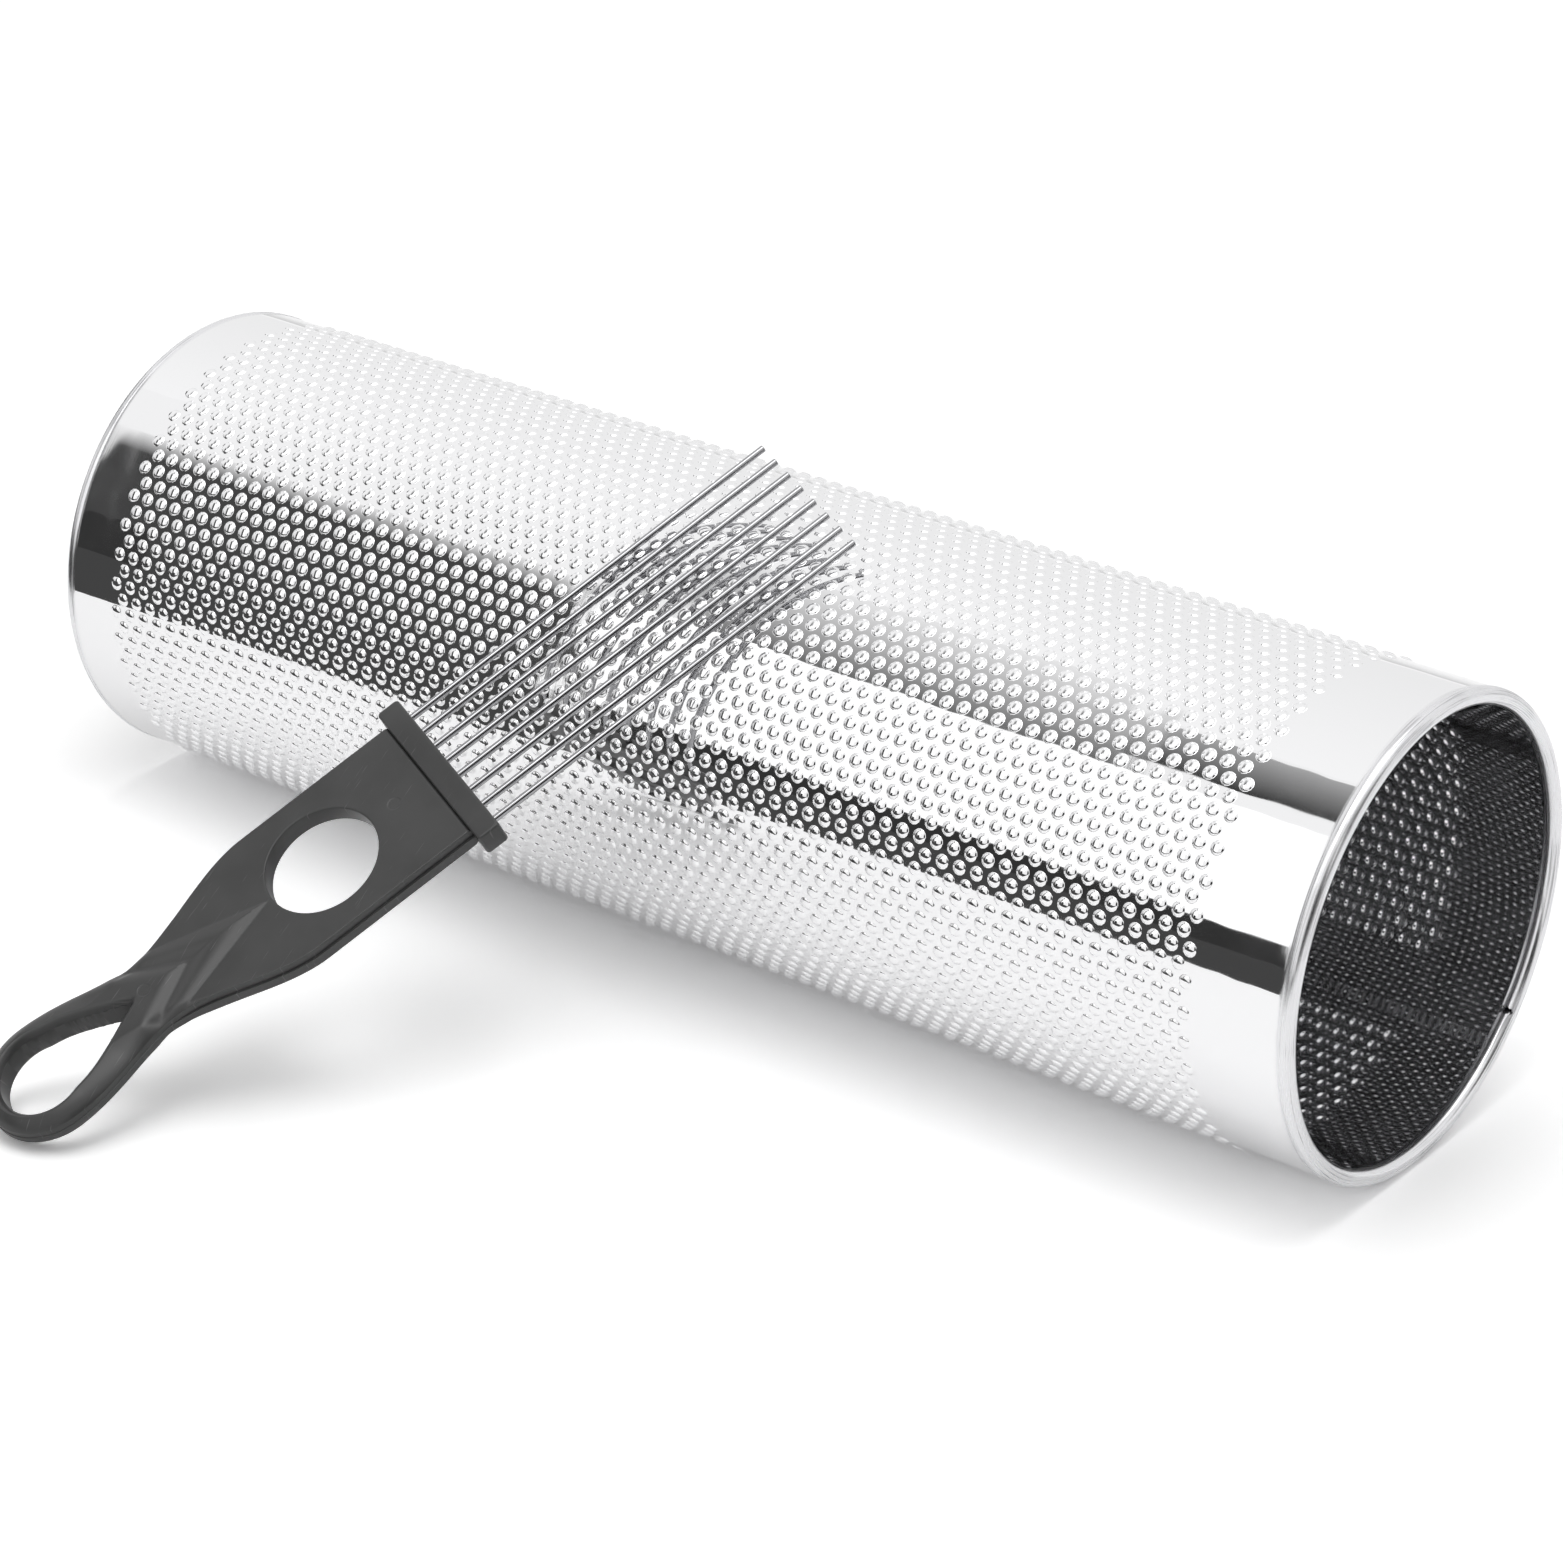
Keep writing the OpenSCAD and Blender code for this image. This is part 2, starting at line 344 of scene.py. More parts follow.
@dataclass(frozen=True)
class MouldedPlastic:
    """Charcoal ABS, injection moulded with a fine satin grain, with light scuffs from use."""

    name: str = "satin_moulded_abs"
    colours: tuple[str, str] = ("#323232", "#3a3a3a")
    colour_range: tuple[float, float] = (0.35, 0.65)
    roughness: tuple[float, float] = (0.32, 0.42)
    roughness_range: tuple[float, float] = (0.3, 0.7)
    cloud: float = 14.0
    scuff_colour: str = "#5c5c5c"
    scuff: tuple[float, float, float] = (0.35, 7.0, 7.0)
    scuff_turn: tuple[float, float, float] = (0.6, 0.0, 0.9)
    scuff_range: tuple[float, float] = (0.68, 0.76)
    scuff_share: tuple[float, float] = (0.0, 0.8)
    grain: float = 0.22
    grain_h: float = 0.03
    grain_strength: float = 0.12
    ejector_at: tuple[tuple[float, float], ...] = ((70.8, 0.0), (12.8, 0.0))
    ejector_r: tuple[float, float] = (1.25, 1.5)
    ejector_h: float = 0.1
    ejector_strength: float = 0.8

    def material(self) -> Material:
        """Build the node material and return it."""
        made, tree, output = new_material(self.name)
        place = add_node(tree, "ShaderNodeTexCoord").outputs
        clouds = add_node(tree, "ShaderNodeTexNoise", {
            "Vector": place["Object"], "Scale": per_metre(self.cloud), "Detail": 3.0}).outputs["Fac"]
        share = add_node(tree, "ShaderNodeMapRange", (clouds, *self.colour_range))
        dark, light = map(linear, self.colours)
        plain = add_node(tree, "ShaderNodeMix", {
            "Factor": share.outputs["Result"], MIX_A: dark, MIX_B: light}, data_type="RGBA")
        # Scuffs are short thin strokes, slantwise to the handle
        slanted = add_node(tree, "ShaderNodeMapping", {
            "Vector": place["Object"], "Rotation": self.scuff_turn,
            "Scale": tuple(map(per_metre, self.scuff))})
        strokes = add_node(tree, "ShaderNodeTexNoise", {
            "Vector": slanted.outputs["Vector"], "Scale": 1.0, "Detail": 2.0})
        scuffs = add_node(tree, "ShaderNodeMapRange", (
            strokes.outputs["Fac"], *self.scuff_range, *self.scuff_share))
        colour = add_node(tree, "ShaderNodeMix", {
            "Factor": scuffs.outputs["Result"], MIX_A: plain.outputs[MIXED],
            MIX_B: linear(self.scuff_colour)}, data_type="RGBA")
        # The grain is drawn coarser than the mould's own, so that it shows
        grain = add_node(tree, "ShaderNodeTexNoise", {
            "Vector": place["Object"], "Scale": per_metre(self.grain), "Detail": 2.0})
        bump = add_node(tree, "ShaderNodeBump", {
            "Strength": self.grain_strength, "Distance": self.grain_h * MM, "Height": grain.outputs["Fac"]})
        # Round marks that the mould's ejector pins leave in the face
        for u, w in self.ejector_at:
            reach = add_node(tree, "ShaderNodeVectorMath", (
                place["UV"], (u * MM, w * MM, 0.0)), operation="DISTANCE")
            pressed = add_node(tree, "ShaderNodeMapRange", (reach.outputs["Value"], *metres(self.ejector_r)))
            bump = add_node(tree, "ShaderNodeBump", {
                "Strength": self.ejector_strength, "Distance": self.ejector_h * MM,
                "Height": pressed.outputs["Result"], "Normal": bump.outputs["Normal"]})
        roughness = add_node(tree, "ShaderNodeMapRange", (clouds, *self.roughness_range, *self.roughness))
        shader = add_node(tree, "ShaderNodeBsdfPrincipled", {
            "Base Color": colour.outputs[MIXED], "IOR": 1.5, "Roughness": roughness.outputs["Result"],
            "Normal": bump.outputs["Normal"]})
        tree.links.new(shader.outputs["BSDF"], output.inputs["Surface"])
        return made


def start(add: Callable, name: str, **settings) -> Piece:
    """Add a primitive with nothing else selected and name it.

    Args:
        add: Operator that adds the primitive.
        name: Name of the new object and its mesh.
        **settings: The operator's settings.

    Returns:
        The new object, selected and active.
    """
    bpy.ops.object.select_all(action="DESELECT")
    add(**settings)
    made = bpy.context.object
    made.name = name
    made.data.name = name
    return made


def make_active(piece: Piece) -> None:
    """Select this object alone and make it active."""
    bpy.ops.object.select_all(action="DESELECT")
    piece.select_set(True)
    bpy.context.view_layer.objects.active = piece


def copied(piece: Piece, name: str) -> Piece:
    """Copy an object with a mesh of its own.

    Args:
        piece: Object to copy.
        name: Name of the copy.

    Returns:
        The copy, linked to the scene.
    """
    made = piece.copy()
    made.data = piece.data.copy()
    made.name = name
    made.data.name = name
    bpy.context.scene.collection.objects.link(made)
    return made


def apply_modifier(piece: Piece, kind: str, **settings) -> None:
    """Add a modifier to an object and apply it.

    Args:
        piece: Object that takes the modifier.
        kind: Blender's name of the modifier type.
        **settings: The modifier's settings.
    """
    make_active(piece)
    modifier = piece.modifiers.new(kind.title(), kind)
    for name, value in settings.items():
        setattr(modifier, name, value)
    bpy.ops.object.modifier_apply(modifier=modifier.name)


def select_edges(piece: Piece, wanted: Callable[[bmesh.types.BMEdge], bool]) -> None:
    """In edit mode, select only the edges that a test picks.

    Args:
        piece: Object in edit mode.
        wanted: Test for an edge.
    """
    bpy.ops.mesh.select_mode(type="EDGE")
    bpy.ops.mesh.select_all(action="DESELECT")
    shape = bmesh.from_edit_mesh(piece.data)
    for edge in shape.edges:
        if wanted(edge):
            edge.select_set(True)
    bmesh.update_edit_mesh(piece.data)


def extrude_to(piece: Piece, place: Callable[[bmesh.types.BMVert], Vector]) -> None:
    """In edit mode, extrude what is selected and put the new vertices in place.

    Args:
        piece: Object in edit mode.
        place: New place of a vertex.
    """
    bpy.ops.mesh.extrude_region_move()
    shape = bmesh.from_edit_mesh(piece.data)
    for vertex in [v for v in shape.verts if v.select]:
        vertex.co = place(vertex)
    bmesh.update_edit_mesh(piece.data)


def rows_of(mesh: bpy.types.Mesh) -> np.ndarray:
    """Vertices of a mesh as an array with a row each."""
    flat = np.zeros(len(mesh.vertices) * 3)
    mesh.vertices.foreach_get("co", flat)
    return flat.reshape(-1, 3)


def keep_flat_map(mesh: bpy.types.Mesh, name: str, flat: np.ndarray) -> None:
    """Keep each corner's place on the flat shape, in metres, as the only UV map.

    Args:
        mesh: Mesh that takes the map.
        name: Name of the map.
        flat: Flat place of each vertex in millimetres.
    """
    for layer in list(mesh.uv_layers):
        mesh.uv_layers.remove(layer)
    corners = np.zeros(len(mesh.loops), np.int32)
    mesh.loops.foreach_get("vertex_index", corners)
    made = mesh.uv_layers.new(name=name)
    made.uv.foreach_set("vector", (flat[corners, :2] * MM).astype(np.float32).ravel())


def smooth_step(value: np.ndarray) -> np.ndarray:
    """Ease from 0 to 1 over the same range."""
    t = np.clip(value, 0, 1)
    return t * t * (3 - 2 * t)


def on_whole(piece: Piece, operator: Callable, **settings) -> None:
    """Run a mesh operator on everything in a piece, in edit mode.

    Args:
        piece: Object that is edited.
        operator: Blender's mesh operator.
        **settings: The operator's settings.
    """
    make_active(piece)
    bpy.ops.object.mode_set(mode="EDIT")
    bpy.ops.mesh.select_all(action="SELECT")
    operator(**settings)
    bpy.ops.object.mode_set(mode="OBJECT")


def deliver(piece: Piece, body: Body, nodes: list[str]) -> None:
    """Give a finished piece its body and the nodes that it stands for, and report it.

    Args:
        piece: Finished piece.
        body: Body that it rides on.
        nodes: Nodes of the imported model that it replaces.
    """
    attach(piece, body.value)
    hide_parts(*nodes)
    LOG.info("%s: %d faces, rides on %s", piece.name, len(piece.data.polygons), body.value)


@dataclass
class DimpledTube:
    """Tube of embossed sheet with rolled rims and a lap seam, modelled flat and then rolled."""

    polished: Material
    inside: Material
    sheet: float = 0.5
    curl_r: float = 1.75
    curl_proud: float = 0.2
    curl_fillet: float = 0.8
    curl_turn: float = 312.0
    curl_steps: int = 19
    pitch: float = 3.838
    per_row: int = 69
    row_step: float = 3.785
    rows: int = 90
    sectors: int = 9
    first_x: float = -135.0
    first_row: float = 56.46
    dimple_h: float = 0.45
    dimple_rings: tuple[float, float, float] = (0.72, 1.28, 1.48)
    dimple_slopes: tuple[float, float] = (0.17, 1.05)
    ring_sides: int = 12
    field_gap: float = 0.2
    seam_angle: float = 48.0
    lap: float = 8.0
    lap_end: float = 145.0
    joggle_run: float = 1.4
    notch: float = 1.4
    notch_from: float = 0.9
    ragged: tuple[float, float] = (0.35, 5.0)
    lap_tail: float = 1.0
    near: float = 0.01
    length: float = field(init=False)
    axis: Vector = field(init=False)

    def __post_init__(self) -> None:
        """Take the tube's outer sizes from the frame and work out the rest."""
        box_low, box_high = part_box("tube")
        self.length = (box_high.x - box_low.x) / MM
        self.axis = (box_low + box_high) / 2
        tube_r = (box_high.z - box_low.z) / 2 / MM
        self.wall_r = tube_r - self.dimple_h
        rim_r = self.wall_r + self.curl_proud
        self.curl_at = Vector((self.length / 2 - self.curl_r, rim_r - self.curl_r))
        top, foot, brim = self.dimple_rings
        shoulder = self.dimple_h - top * self.dimple_slopes[0] / 2
        low = shoulder - (foot - top) * sum(self.dimple_slopes) / 2
        self.profile_r = (0.0, top, foot, brim)
        self.profile_z = (self.dimple_h, shoulder, low, 0.0)
        self.profile_slope = (0.0, *self.dimple_slopes, 0.0)
        self.row_pitch = math.radians(self.row_step) * self.wall_r
        self.corner_low = (self.row_pitch ** 2 - self.pitch ** 2 / 4) / (2 * self.row_pitch)
        self.corner_high = self.row_pitch - self.corner_low
        reach = self.curl_r + self.curl_fillet
        rise = self.wall_r + self.curl_fillet - self.curl_at.y
        run = math.sqrt(reach ** 2 - rise ** 2)
        self.straight_end = self.curl_at.x - run
        self.fillet_angle = math.pi / 2 - math.atan2(rise, run)
        self.curl_start = math.pi - math.atan2(rise, run)
        self.fillet_end = self.straight_end + self.curl_fillet * self.fillet_angle
        self.sheet_end = self.fillet_end + self.curl_r * math.radians(self.curl_turn)
        self.rows_each = self.rows // self.sectors

    def build(self) -> list[Piece]:
        """Model the sectors of the tube.

        Returns:
            The finished sectors, rolled and in place.
        """
        plain = self.embossed_field()
        made = []
        for index in range(self.sectors):
            sector = copied(plain, f"tube_sector_{index + 1}")
            self.draw_margins(sector, index)
            apply_modifier(sector, "SOLIDIFY", thickness=self.sheet, offset=-1.0,
                           material_offset=1, use_rim=True)
            self.roll(sector, index)
            made.append(sector)
        bpy.data.objects.remove(plain)
        return made

    def dress(self, sectors: list[Piece]) -> None:
        """Deliver the sectors on the guiro, in place of the tube's node."""
        for sector in sectors:
            deliver(sector, Body.GUIRO, ["tube"])

    def bump(self, radius: float) -> float:
        """Height of a dimple at this distance from its middle."""
        return float(np.interp(radius, self.profile_r, self.profile_z))

    def cell_border(self) -> list[Vector]:
        """Corners of a dimple's six-sided cell and the middles of its sides, in order of angle."""
        half = self.pitch / 2
        corners = [Vector((half, self.corner_low)), Vector((0, self.corner_high)),
                   Vector((-half, self.corner_low)), Vector((-half, -self.corner_low)),
                   Vector((0, -self.corner_high)), Vector((half, -self.corner_low))]
        middles = [(corners[i - 1] + corners[i]) / 2 for i in range(6)]
        return [point for pair in zip(middles, corners) for point in pair]

    def embossed_field(self) -> Piece:
        """Model one dimple's cell and repeat it to a sector's rows.

        Returns:
            The flat field in millimetres, with its first dimple's middle on the first row.
        """
        cell = start(bpy.ops.mesh.primitive_circle_add, "dimple_field", vertices=self.ring_sides,
                     radius=self.dimple_rings[0], fill_type="TRIFAN")
        border = self.cell_border()
        bpy.ops.object.mode_set(mode="EDIT")
        select_edges(cell, lambda edge: edge.is_boundary)
        for ring in self.dimple_rings[1:]:
            extrude_to(cell, lambda v: v.co.normalized() * ring)
        extrude_to(cell, lambda v: max(border, key=lambda p: p.normalized() @ v.co.xy).to_3d())
        shape = bmesh.from_edit_mesh(cell.data)
        for vertex in shape.verts:
            vertex.co.z = self.bump(vertex.co.xy.length)
        bmesh.update_edit_mesh(cell.data)
        bpy.ops.object.mode_set(mode="OBJECT")
        cell.data.transform(Matrix.Translation((self.first_x, 0, 0)))
        steps = [(self.per_row, (self.pitch, 0, 0)), (2, (self.pitch / 2, self.row_pitch, 0)),
                 (self.rows_each // 2, (0, 2 * self.row_pitch, 0))]
        for count, step in steps:
            apply_modifier(cell, "ARRAY", count=count, use_relative_offset=False,
                           use_constant_offset=True, constant_offset_displace=step)
        on_whole(cell, bpy.ops.mesh.remove_doubles, threshold=self.near)
        cell.data.materials.append(self.polished)
        cell.data.materials.append(self.inside)
        return cell

    def along(self, angle: float, index: int) -> float:
        """Place of an angle round the tube, along a sector's own sheet."""
        return math.radians(angle - self.first_row) * self.wall_r - self.sector_start(index)

    def sector_start(self, index: int) -> float:
        """Distance along the sheet from the first row to a sector's first row."""
        return index * self.rows_each * self.row_pitch

    def draw_margins(self, sector: Piece, index: int) -> None:
        """Draw out a sector's edges: the seam strips at the two ends, then both rims.

        Args:
            sector: Flat field of the sector.
            index: Number of the sector, from 0.
        """
        make_active(sector)
        bpy.ops.object.mode_set(mode="EDIT")
        left = self.first_x + self.near
        right = self.first_x + (self.per_row - 0.5) * self.pitch - self.near
        last_row = (self.rows_each - 1) * self.row_pitch
        if index == 0:
            self.draw_strip(sector, lambda v: v.co.y < -self.corner_low + self.near and
                            left - 2 * self.near < v.co.x < right + 2 * self.near,
                            [-self.corner_high - self.field_gap, self.along(self.seam_angle, 0)])
        if index == self.sectors - 1:
            top = last_row + self.corner_low - self.near
            end = self.along(self.seam_angle + 360, index)
            self.draw_strip(sector, lambda v: v.co.y > top and
                            left - 2 * self.near < v.co.x < right + 2 * self.near,
                            [last_row + self.corner_high + self.field_gap, end - self.lap - self.joggle_run,
                             end - self.lap, end])
        for side, test in ((-1, lambda v: v.co.x < left), (1, lambda v: v.co.x > right)):
            edge = left - self.pitch / 2 if side < 0 else right + self.pitch / 2
            select_edges(sector, lambda e: e.is_boundary and all(test(v) for v in e.verts))
            for x in (edge + side * self.field_gap, side * self.lap_end, side * self.straight_end):
                extrude_to(sector, lambda v: Vector((x, v.co.y, 0)))
            extrude_to(sector, lambda v: Vector((side * self.sheet_end, v.co.y, 0)))
            select_edges(sector, lambda e: min(abs(v.co.x) for v in e.verts) > self.straight_end - self.near
                         and abs(e.verts[0].co.x - e.verts[1].co.x) > self.near
                         and e.verts[0].co.x * side > 0)
            bpy.ops.mesh.subdivide(number_cuts=self.curl_steps)
        if index == 0:
            end = self.along(self.seam_angle, 0) + self.near
            select_edges(sector, lambda e: e.is_boundary and all(
                v.co.y < end and abs(v.co.x) < self.lap_end + self.near for v in e.verts))
            extrude_to(sector, lambda v: Vector((v.co.x, v.co.y - self.lap, 0)))
        bpy.ops.object.mode_set(mode="OBJECT")

    def draw_strip(self, sector: Piece, test: Callable[[bmesh.types.BMVert], bool],
                   stops: list[float]) -> None:
        """Draw a sector's end out to the seam.

        Args:
            sector: Sector in edit mode.
            test: Picks the vertices of the end.
            stops: Places along the sheet that the strip is drawn to, one after the other.
        """
        select_edges(sector, lambda e: e.is_boundary and all(test(v) for v in e.verts))
        for stop in stops:
            extrude_to(sector, lambda v: Vector((v.co.x, stop, 0)))

    def rim_path(self, along: np.ndarray) -> tuple[np.ndarray, np.ndarray, np.ndarray, np.ndarray]:
        """Follow the sheet's outer face along the tube, over the fillet and round the curl.

        Args:
            along: Distance along the sheet from the tube's middle.

        Returns:
            Place along the axis, radius, and the axial and radial parts of the outward normal.
        """
        side = np.where(along < 0, -1.0, 1.0)
        run = np.abs(along)
        turn = np.clip((run - self.straight_end) / self.curl_fillet, 0, self.fillet_angle)
        angle = self.curl_start - np.clip(run - self.fillet_end, 0, None) / self.curl_r
        curled = run > self.fillet_end
        x = np.where(curled, self.curl_at.x + self.curl_r * np.cos(angle),
                     np.minimum(run, self.straight_end) + self.curl_fillet * np.sin(turn))
        r = np.where(curled, self.curl_at.y + self.curl_r * np.sin(angle),
                     self.wall_r + self.curl_fillet * (1 - np.cos(turn)))
        nx = np.where(curled, np.cos(angle), -np.sin(turn))
        nr = np.where(curled, np.sin(angle), np.cos(turn))
        return side * x, r, side * nx, nr

    def slopes(self, x: np.ndarray, y: np.ndarray) -> tuple[np.ndarray, np.ndarray]:
        """Slope of the embossed sheet along the tube and round it, at places on the flat sheet.

        Args:
            x: Place along the tube.
            y: Place round the tube, from the first row.

        Returns:
            Slope along the tube and slope round it.
        """
        row = np.clip(np.round(y / self.row_pitch), 0, self.rows - 1)
        best = np.full(x.shape, np.inf)
        dx, dy = np.zeros(x.shape), np.zeros(x.shape)
        for step in (-1, 0, 1):
            this_row = np.clip(row + step, 0, self.rows - 1)
            first = self.first_x + (this_row % 2) * self.pitch / 2
            nearest = np.clip(np.round((x - first) / self.pitch), 0, self.per_row - 1)
            across = x - first - self.pitch * nearest
            down = y - this_row * self.row_pitch
            closer = np.hypot(across, down) < best
            best = np.where(closer, np.hypot(across, down), best)
            dx, dy = np.where(closer, across, dx), np.where(closer, down, dy)
        steep = -np.interp(best, self.profile_r, self.profile_slope)
        safe = np.maximum(best, TINY)
        return steep * dx / safe, steep * dy / safe

    def roll(self, sector: Piece, index: int) -> None:
        """Roll a flat sector round the tube's axis, in metres, with the sheet's true normals.

        Args:
            sector: Flat sector with its thickness, outer face first.
            index: Number of the sector, from 0.
        """
        mesh = sector.data
        flat = rows_of(mesh)
        half = len(flat) // 2
        flat[:, 1] += self.sector_start(index)
        outer_x, outer_y = flat[:half, 0], flat[:half, 1]
        slope_x, slope_y = self.slopes(outer_x, outer_y)
        # Under the lap the sheet is set in by its own thickness, but not at the curls
        lap_start = self.along(self.seam_angle + 360, 0) - self.lap
        inset = (self.sheet + 2 * self.near) * (np.abs(outer_x) < self.lap_end + self.lap_tail)
        eased = smooth_step((outer_y - lap_start + self.joggle_run) / self.joggle_run)
        # The curl is cut back a little on each side of the seam
        beyond = self.fillet_end + self.curl_r * (self.curl_start + self.notch_from)
        cut = (np.abs(flat[:, 0]) > beyond) * self.notch / 2
        ragged = 1 + self.ragged[0] * np.sin(self.ragged[1] * flat[:, 0])
        seam_low, seam_high = self.along(self.seam_angle, 0), self.along(self.seam_angle + 360, 0)
        flat[:, 1] += cut * ragged * (flat[:, 1] < seam_low + self.near)
        flat[:, 1] -= cut * ragged * (flat[:, 1] > seam_high - self.near)
        x, r, nx, nr = self.rim_path(flat[:, 0])
        sunk = np.tile(inset * eased, 2)
        angle = math.radians(self.first_row) + flat[:, 1] / self.wall_r
        radius = r + flat[:, 2] * nr - sunk
        around = np.stack([np.zeros(len(flat)), np.cos(angle), np.sin(angle)], 1)
        out = np.stack([np.zeros(len(flat)), np.sin(angle), -np.cos(angle)], 1)
        place = out * radius[:, None]
        place[:, 0] = x + flat[:, 2] * nx
        mesh.vertices.foreach_set("co", (place * MM + np.array(self.axis)).ravel())
        keep_flat_map(mesh, "sheet", flat)
        mesh.flip_normals()
        mesh.shade_smooth()
        tilt_x, tilt_y = np.tile(slope_x, 2), np.tile(slope_y, 2)
        axial = np.array([1.0, 0.0, 0.0])
        normal = (axial * nx[:, None] + out * nr[:, None]) - around * tilt_y[:, None]
        normal -= (axial * nr[:, None] - out * nx[:, None]) * tilt_x[:, None]
        normal /= np.linalg.norm(normal, axis=1)[:, None]
        normal[half:] *= -1
        self.set_normals(mesh, normal, half)

    def set_normals(self, mesh: bpy.types.Mesh, normal: np.ndarray, half: int) -> None:
        """Give every corner the sheet's own normal, but for the cut edges, which stay flat.

        Args:
            mesh: Rolled mesh.
            normal: Normal of each vertex.
            half: Number of vertices of the outer face.
        """
        corners = np.zeros(len(mesh.loops), np.int32)
        mesh.loops.foreach_get("vertex_index", corners)
        sizes = np.zeros(len(mesh.polygons), np.int32)
        mesh.polygons.foreach_get("loop_total", sizes)
        flats = np.zeros(len(mesh.polygons) * 3)
        mesh.polygons.foreach_get("normal", flats)
        face_of = np.repeat(np.arange(len(sizes)), sizes)
        inner_corners = np.bincount(face_of, weights=corners >= half)
        edge_face = (inner_corners > 0) & (inner_corners < sizes)
        chosen = normal[corners]
        cut = edge_face[face_of]
        chosen[cut] = flats.reshape(-1, 3)[face_of[cut]]
        mesh.normals_split_custom_set(chosen.tolist())


@dataclass
class ScraperPlace:
    """The scraper's own axes, worked out from the handle's two holes in the record."""

    finger_at: float = FINGER_AT

    def matrix(self) -> Matrix:
        """Place of the scraper: x towards its tail from the bar's front, z out of its face."""
        mounts = {mount["name"]: mount for mount in frame["record"]["mounts"]}
        finger = Vector(mounts["finger_hole"]["pos_m"])
        tail = (Vector(mounts["hanging_loop"]["pos_m"]) - finger).normalized()
        face = Vector(mounts["finger_hole"]["axis"]).normalized()
        across = face.cross(tail)
        origin = finger - tail * self.finger_at * MM
        turn = Matrix((tail, across, face)).transposed()
        return Matrix.Translation(origin) @ turn.to_4x4() @ Matrix.Scale(MM, 4)


